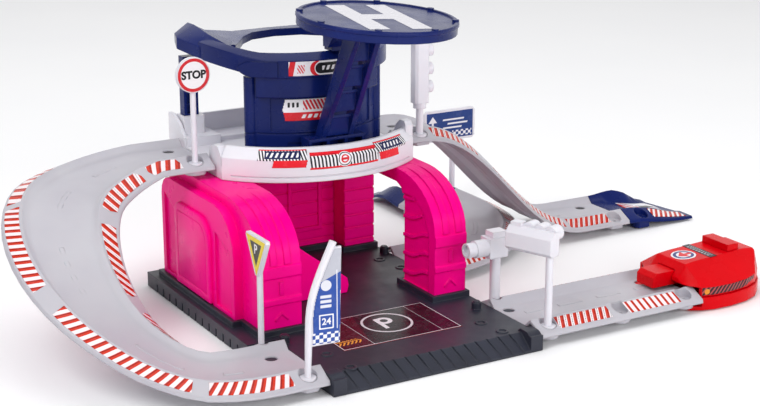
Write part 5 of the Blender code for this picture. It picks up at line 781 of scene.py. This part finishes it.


# Peg bores. The round pegs that hold the upper and outer track ends are hollow and look dark from above;
# a charcoal disc just under each peg's rim is painted shade for the inside of the bore, and the lighter
# ring on it is a painted highlight.

PEG_RADIUS, PEG_SUNK = 3.0, 0.6
for name, x, y, z, slot in (
    ("left_peg_bore_shade", -64.0, 87.5, ROAD, "white_plastic"),
    ("right_peg_bore_shade", 85.3, 76.5, ROAD, "white_plastic"),
    ("right_runout_peg_bore_shade", 241.4, 81.0, GROUND, "navy_plastic"),
    ("curve_runout_peg_bore_shade", 175.6, 141.5, GROUND, "navy_plastic"),
):
    # Near-black disc: painted shade inside the bore; its lighter ring: a painted highlight on the rim
    printed(name, flat_on((x, y, z - PEG_SUNK), ALONG_X, ALONG_Y),
            (-PEG_RADIUS, PEG_RADIUS, -PEG_RADIUS, PEG_RADIUS), "#1c1a1f",
            [("#34323a", ring(0.0, 0.0, 2.1, 0.5))], 0.25,
            shape=ring(0.0, 0.0, PEG_RADIUS, 2.0 * PEG_RADIUS))


# Launcher. Two glossy red ABS shells screwed together from below; a sprung pusher stands out over the
# track's floor, and the release button sits across the roof. The spring and the screws are steel.

# Red ABS from a polished tool: smooth, with low reflections that keep the red deep
RED = moulded("red moulded ABS", "#d8000f", "#cc000d", roughness=0.26, grain=2.0, depth=0.01,
              rounding=0.8, glow=0.08, shine=0.08)
dressed("launcher_base", "launcher_lower_shell", RED)
dressed("launcher_cover", "launcher_upper_shell", RED, corner=25.0)
dressed("launcher_button", "release_button", RED, body="button")
dressed("launcher_pusher", "pusher_moulding", RED, body="pusher")


def plated_steel():
    """Zinc-plated wire and screws: a metal whose polish is drawn out in 0.3 mm streaks."""
    mat, tree, shader, place = blank("zinc plated steel")
    drawn = add(tree, "Mapping", {"Scale": (1.0, 1.0, 0.2)}, {"Vector": place})
    streak = add(tree, "TexNoise", {"Scale": 1.0 / (0.3 * MM), "Detail": 2.0}, {"Vector": drawn})
    tone = add(tree, "Mix", {"data_type": "RGBA", 6: linear("#b8b9bd"), 7: linear("#8e9096")}, {0: streak})
    rough = add(tree, "MapRange", {"To Min": 0.25, "To Max": 0.45}, {"Value": streak})
    fit(tree, shader, {"Metallic": 1.0}, {"Base Color": tone.outputs[2], "Roughness": rough})
    return mat


STEEL = plated_steel()
for node in ("launcher_screw_1", "launcher_screw_2", "launcher_screw_3",
             "wall_screw_1", "wall_screw_2", "wall_screw_3", "wall_screw_4"):
    dressed(node, f"{node}_steel", STEEL)
for node, joint, axis, end in (("launcher_spring", "pusher_travel", (1.0, 0.0, 0.0), 1),
                               ("button_spring", "button_press", (0.0, 0.0, 1.0), 0)):
    spring = dressed(node, f"{node}_steel", STEEL)
    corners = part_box(node)
    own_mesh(spring)

# Launcher prints. A round film with a ring and an arrow on the sloping roof, a dark strip behind it,
# and a dark film with slanted bars along the near side.

ROOF_X = np.array([187.0, 193.0, 201.0, 214.0, 227.0, 238.0])
ROOF_Z = np.array([16.74, 24.3, 25.11, 25.785, 26.46, 27.0])
FLANK_X = np.array([*ROOF_X, 246.5])
FLANK_HALF = np.array([24.8, 28.83, 30.69, 31.0, 29.14, 24.8, 17.67])
FLANK_FOOT, FLANK_TOP = 9.4, 14.2


def on_roof(u, v):
    """u is the distance behind the roof's front kink and v that across; the height follows its facets."""
    x = ROOF_X[1] + u
    points = np.stack([x, STRAIGHT_Y + v, np.interp(x, ROOF_X, ROOF_Z)], -1)
    return points, np.broadcast_to(np.array([-0.06, 0.0, 0.998]), points.shape)


def on_flank(u, v):
    """u is the distance along the set and v the height; the depth follows the near side's facets."""
    half = np.interp(u, FLANK_X, FLANK_HALF)
    slope = (np.interp(u + 1.0, FLANK_X, FLANK_HALF) - np.interp(u - 1.0, FLANK_X, FLANK_HALF)) / 2.0
    size = np.hypot(slope, 1.0)
    normals = np.stack([-slope / size, -1.0 / size, np.zeros(u.shape)], -1)
    return np.stack([u, STRAIGHT_Y - half, v], -1), normals


def rungs(u0, u1, pitch, share):
    """Strip across the roof, cut into bars that repeat along it."""
    return both(block(u0, u1, -10.5, 10.5), lambda u, v: bars(pitch, share, 0.0)(v, u))


arrow = either(block(10.4, 14.6, -1.4, 1.4),
               lambda u, v: np.minimum((u - 5.2) * 0.75 - np.abs(v) * 0.75, 10.6 - u))
printed("launcher_round_print", on_roof, (1.4, 17.0, -7.8, 7.8), "#e9e7ec",
        [("#2b3a7a", ring(9.2, 0.0, 6.4, 1.9)), (RED_INK, arrow)],
        0.35, shape=ring(9.2, 0.0, 7.6, 15.2))
printed("launcher_strip_print", on_roof, (19.0, 24.4, -13.0, 13.0), "#2a2a30",
        [("#a8a6ad", either(rungs(19.8, 21.2, 2.6, 0.6), rungs(22.0, 23.4, 1.9, 0.5)))], 0.4)
printed("launcher_flank_print", on_flank, (193.0, 236.5, FLANK_FOOT, FLANK_TOP), "#2b1c20",
        [("#a8474a", bars(3.0, 0.42, -0.8)), ("#d98a2c", ring(196.2, 11.6, 1.7, 3.4))], 0.35,
        shape=lambda u, v: np.minimum(FLANK_TOP - 0.1 - v, v - FLANK_FOOT - 2.4 * ease((u - 222.0) / 14.0)))


# Signs. White ABS posts with a round foot that plugs into a kerb socket and turns there. Films are stuck
# on their plates.

for node, name, body in (
    ("stop_sign", "stop_sign_moulding", "stop"), ("parking_sign", "parking_sign_moulding", "parking"),
    ("flag_sign", "flag_moulding", "flag"), ("traffic_light", "traffic_light_moulding", "lights"),
    ("gantry_light", "gantry_moulding", "gantry"), ("camera_sign", "camera_moulding", "camera"),
    ("billboard", "billboard_moulding", "board"),
):
    dressed(node, name, WHITE, body=body)

CAPITAL = 1.4
LETTER_DEPTH = 0.12


def lettering(name, text, height, place, turn, body, colour, weight):
    """Raised printed letters: a text outline made a mesh, set upright by turn and moved to place. The
    font's size is CAPITAL times the letters' height, and weight thickens their strokes."""
    curve = bpy.data.curves.new(name, "FONT")
    curve.body = text
    curve.align_x, curve.align_y = "CENTER", "CENTER"
    curve.size = height * CAPITAL * MM
    curve.offset = weight * MM
    curve.extrude = 0.5 * LETTER_DEPTH * MM
    shown = linked(name, curve)
    mesh = bpy.data.meshes.new_from_object(shown.evaluated_get(bpy.context.evaluated_depsgraph_get()))
    bpy.data.objects.remove(shown)
    mesh.transform(Matrix.Translation(Vector(place) * MM) @ turn.to_4x4())
    mesh.materials.clear()
    mesh.materials.append(ink(f"{name} ink", colour, []))
    placed(name, mesh, body)


def sign_place(node):
    """Middle of a sign along x and y, and its top, in mm."""
    low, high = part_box(node)
    return 0.5 * (low.x + high.x) / MM, 0.5 * (low.y + high.y) / MM, high.z / MM


# Stop sign: a round white plate with a red ring. The plate's face stands in front of its post's line.
STOP_POST_Y, STOP_REACH, STOP_DROP = 53.4, 2.0, 10.4
stop_x, _, stop_top = sign_place("stop_sign")
stop_face, stop_z = STOP_POST_Y - STOP_REACH, stop_top - STOP_DROP
printed("stop_print", flat_on((stop_x, stop_face, stop_z), ALONG_X, UP),
        (-10.4, 10.4, -10.4, 10.4), "#edebee", [("#cc1f2a", ring(0.0, 0.0, 9.8, 1.9))], 0.35,
        shape=ring(0.0, 0.0, 10.0, 20.0), body="stop")
lettering("stop_letters", "STOP", 4.5, (stop_x, stop_face - 0.2, stop_z),
          Matrix.Rotation(math.radians(90.0), 3, "X"), "stop", "#16161a", 0.28)

# Parking sign: a yellow triangle, point down, with a dark field and a letter P. It faces left.
PARKING_POST_X, PARKING_REACH = -69.7, 2.0
_, parking_y, parking_top = sign_place("parking_sign")
parking_face = PARKING_POST_X - PARKING_REACH


def triangle(half, top, tip):
    """Distance inside a triangle that stands on its point: below its top edge and between its flanks."""
    slope = half / (top - tip)
    scale = math.hypot(1.0, slope)
    return lambda u, v: np.minimum(top - v, ((v - tip) * slope - np.abs(u)) / scale)


printed("parking_print", flat_on((parking_face, parking_y, parking_top), -ALONG_Y, UP),
        (-11.6, 11.6, -21.6, -0.6), "#ead22e", [("#39372c", triangle(7.0, -3.4, -17.0))],
        0.35, shape=triangle(11.4, -0.9, -21.8), body="parking")
lettering("parking_letter", "P", 5.4, (parking_face - 0.2, parking_y, parking_top - 7.4),
          Matrix(((0, 0, -1), (-1, 0, 0), (0, 1, 0))), "parking", "#f1eff2", 0.1)

# Flag: a blue banner in the bow of its pole, with plain shapes, a number and checks along the foot.
FLAG_FOOT = np.array([-67.5, -98.1, 9.0])
FLAG_TURN = math.radians(-9.0)
POLE_HEIGHT, POLE_LEAN, POLE_BOW, POLE_WIDTH = 73.0, 2.4, 17.5, 2.0
BANNER = (1.0, 18.6, 18.2, 69.6)
SIGN_WHITE = "#e9e8ee"
flag_along = np.array([math.cos(FLAG_TURN), math.sin(FLAG_TURN), 0.0])
flag_front = np.cross(flag_along, UP)


def in_bow(u, v):
    """Distance inside the banner: right of the pole's bow and left of the free edge."""
    share = v / POLE_HEIGHT
    bow = POLE_LEAN * share + POLE_BOW * ease((share - 0.42) / 0.9) ** 1.1 + POLE_WIDTH
    return np.minimum(np.minimum(u - bow, 17.4 + (v - 18.2) * 0.021 - u), np.minimum(v - 18.6, 69.0 - v))


def checks(u0, u1, v0, v1, side):
    """Chequered field of squares of that side."""
    inside = block(u0, u1, v0, v1)

    def distance(u, v):
        across = np.abs(((u - u0) / side) % 2.0 - 1.0) - 0.5
        upward = np.abs(((v - v0) / side) % 2.0 - 1.0) - 0.5
        nearest = np.minimum(np.abs(across), np.abs(upward))
        return np.minimum(inside(u, v), np.sign(across * upward) * nearest * side)
    return distance


printed(
    "flag_print", flat_on(FLAG_FOOT + 0.8 * flag_front, flag_along, UP), BANNER, "#2f4f9e",
    [
        ("#b9bac4", lambda u, v: (v - 50.5 - 0.45 * (u - 4.0)) * 0.9),
        (SIGN_WHITE, both(block(1.0, 18.6, 18.2, 24.6), checks(1.0, 20.0, 18.2, 24.8, 2.1))),
        (SIGN_WHITE, either(block(15.8, 16.3, 26.0, 58.0),
                            without(block(6.2, 14.2, 26.4, 34.4), block(6.9, 13.5, 27.1, 33.7)))),
        ("#d9d9e2", either(*(block(7.0, 13.0, foot, foot + 1.6) for foot in (38.0, 40.6, 43.2)),
                           ring(10.2, 50.0, 2.9, 5.8))),
    ], 0.4, shape=in_bow, body="flag",
)
lettering("flag_number", "24", 3.6, FLAG_FOOT + 10.2 * flag_along + 1.0 * flag_front + 30.4 * UP,
          Matrix(np.stack([flag_along, UP, flag_front], 1).tolist()), "flag", SIGN_WHITE, 0.1)

# Billboard: a blue board with a white arrow, bars and checks.
BOARD_POST_Y, BOARD_REACH, BOARD_DROP = 169.0, 1.4, 11.5
board_x, _, board_top = sign_place("billboard")
board = flat_on((board_x, BOARD_POST_Y - BOARD_REACH, board_top - BOARD_DROP), ALONG_X, UP)
arrow_up = either(block(-15.4, -13.8, -4.0, 4.0),
                  lambda u, v: np.minimum(v - 2.6, 7.4 - v - np.abs(u + 14.6) * 1.3))
printed(
    "billboard_print", board, (-19.6, 19.6, -9.8, 9.8), "#27407f",
    [
        (SIGN_WHITE, arrow_up),
        (SIGN_WHITE, either(block(-6.0, 12.0, 3.4, 4.6, 0.4), block(-2.0, 15.0, 0.4, 1.6, 0.4),
                            block(-6.0, 10.0, -2.6, -1.4, 0.4))),
        (SIGN_WHITE, checks(2.0, 18.6, -8.8, -4.4, 2.1)),
    ], 0.3, body="board",
)


# Studio. A plain pale floor, a soft key high on the left, a wide fill from the front right, a top light,
# and white walls all round that are brightest behind the set.

def floor_lacquer():
    """Matt white lacquer: near white, with a faint grain so that it is not a flat colour."""
    mat, tree, shader, place = blank("matt white floor lacquer")
    cloud = add(tree, "TexNoise", {"Scale": 6.0}, {"Vector": place})
    tone = add(tree, "Mix", {"data_type": "RGBA", 6: linear("#fbfbfc"), 7: linear("#f7f7f9")}, {0: cloud})
    fit(tree, shader, {"Roughness": 0.9, "Specular IOR Level": 0.2}, {"Base Color": tone.outputs[2]})
    return mat


# Half the floor's side, and its gap under the set so that the two never share a plane, in metres
FLOOR_REACH, FLOOR_GAP = 25.0, 0.0003
floor_mesh = bpy.data.meshes.new("studio_floor")
corners = [(x * FLOOR_REACH, y * FLOOR_REACH, -FLOOR_GAP) for x, y in ((-1, -1), (1, -1), (1, 1), (-1, 1))]
floor_mesh.from_pydata(corners, [], [(0, 1, 2, 3)])
floor_mesh.materials.append(floor_lacquer())
linked("studio_floor", floor_mesh)


def softbox(name, place, target, size, power):
    """Rectangular area light that faces a point: metres and watts."""
    light = bpy.data.lights.new(name, "AREA")
    light.shape = "RECTANGLE"
    light.size, light.size_y = size
    light.energy = power
    shown = linked(name, light)
    shown.location = place
    shown.rotation_euler = (Vector(target) - Vector(place)).to_track_quat("-Z", "Y").to_euler()


softbox("key", (-1.15, -0.45, 1.5), (0.05, 0.02, 0.06), (0.9, 0.9), 15.5)
softbox("fill", (0.25, -1.6, 0.6), (0.06, 0.0, 0.06), (1.4, 0.7), 14.5)
softbox("top", (0.2, 0.3, 1.7), (0.05, 0.05, 0.0), (1.4, 1.4), 7.0)

world = bpy.data.worlds.new("studio")
world.use_nodes = True
walls = world.node_tree
around = add(walls, "TexCoord").outputs["Generated"]
behind = add(walls, "VectorMath", {"operation": "DOT_PRODUCT", 1: VIEW_AHEAD}, {0: around})
bright = add(walls, "MapRange", {"From Min": -0.4, "From Max": 0.9, "To Min": 0.3, "To Max": 1.05},
             {"Value": behind.outputs["Value"]})
fit(walls, walls.nodes["Background"], {"Color": (1.0, 1.0, 1.0, 1.0)}, {"Strength": bright})
bpy.context.scene.world = world
bpy.context.scene.view_settings.view_transform = "Standard"
bpy.context.scene.view_settings.look = "None"

# Camera at the photograph's angle: 16.4 degrees down, heading 60 degrees from +X to +Y. Its place is in
# metres, and its focal length is in pixels of the photograph's frame.
CAMERA_PLACE = (-0.4195, -0.7825, 0.330)
HEADING, PITCH = math.radians(60.0), math.radians(16.4)
FOCAL_PIXELS, FRAME_PIXELS, SENSOR = 1600.0, 760.0, 36.0
camera = bpy.data.cameras.new("camera")
camera.sensor_width = SENSOR
camera.lens = FOCAL_PIXELS / FRAME_PIXELS * SENSOR
camera.clip_start = 0.01
camera_object = linked("camera", camera)
ahead = Vector((math.cos(HEADING) * math.cos(PITCH), math.sin(HEADING) * math.cos(PITCH), -math.sin(PITCH)))
sideways = Vector((math.sin(HEADING), -math.cos(HEADING), 0.0))
aim = Matrix((sideways, sideways.cross(ahead), -ahead)).transposed()
camera_object.matrix_world = Matrix.Translation(CAMERA_PLACE) @ aim.to_4x4()
bpy.context.scene.camera = camera_object
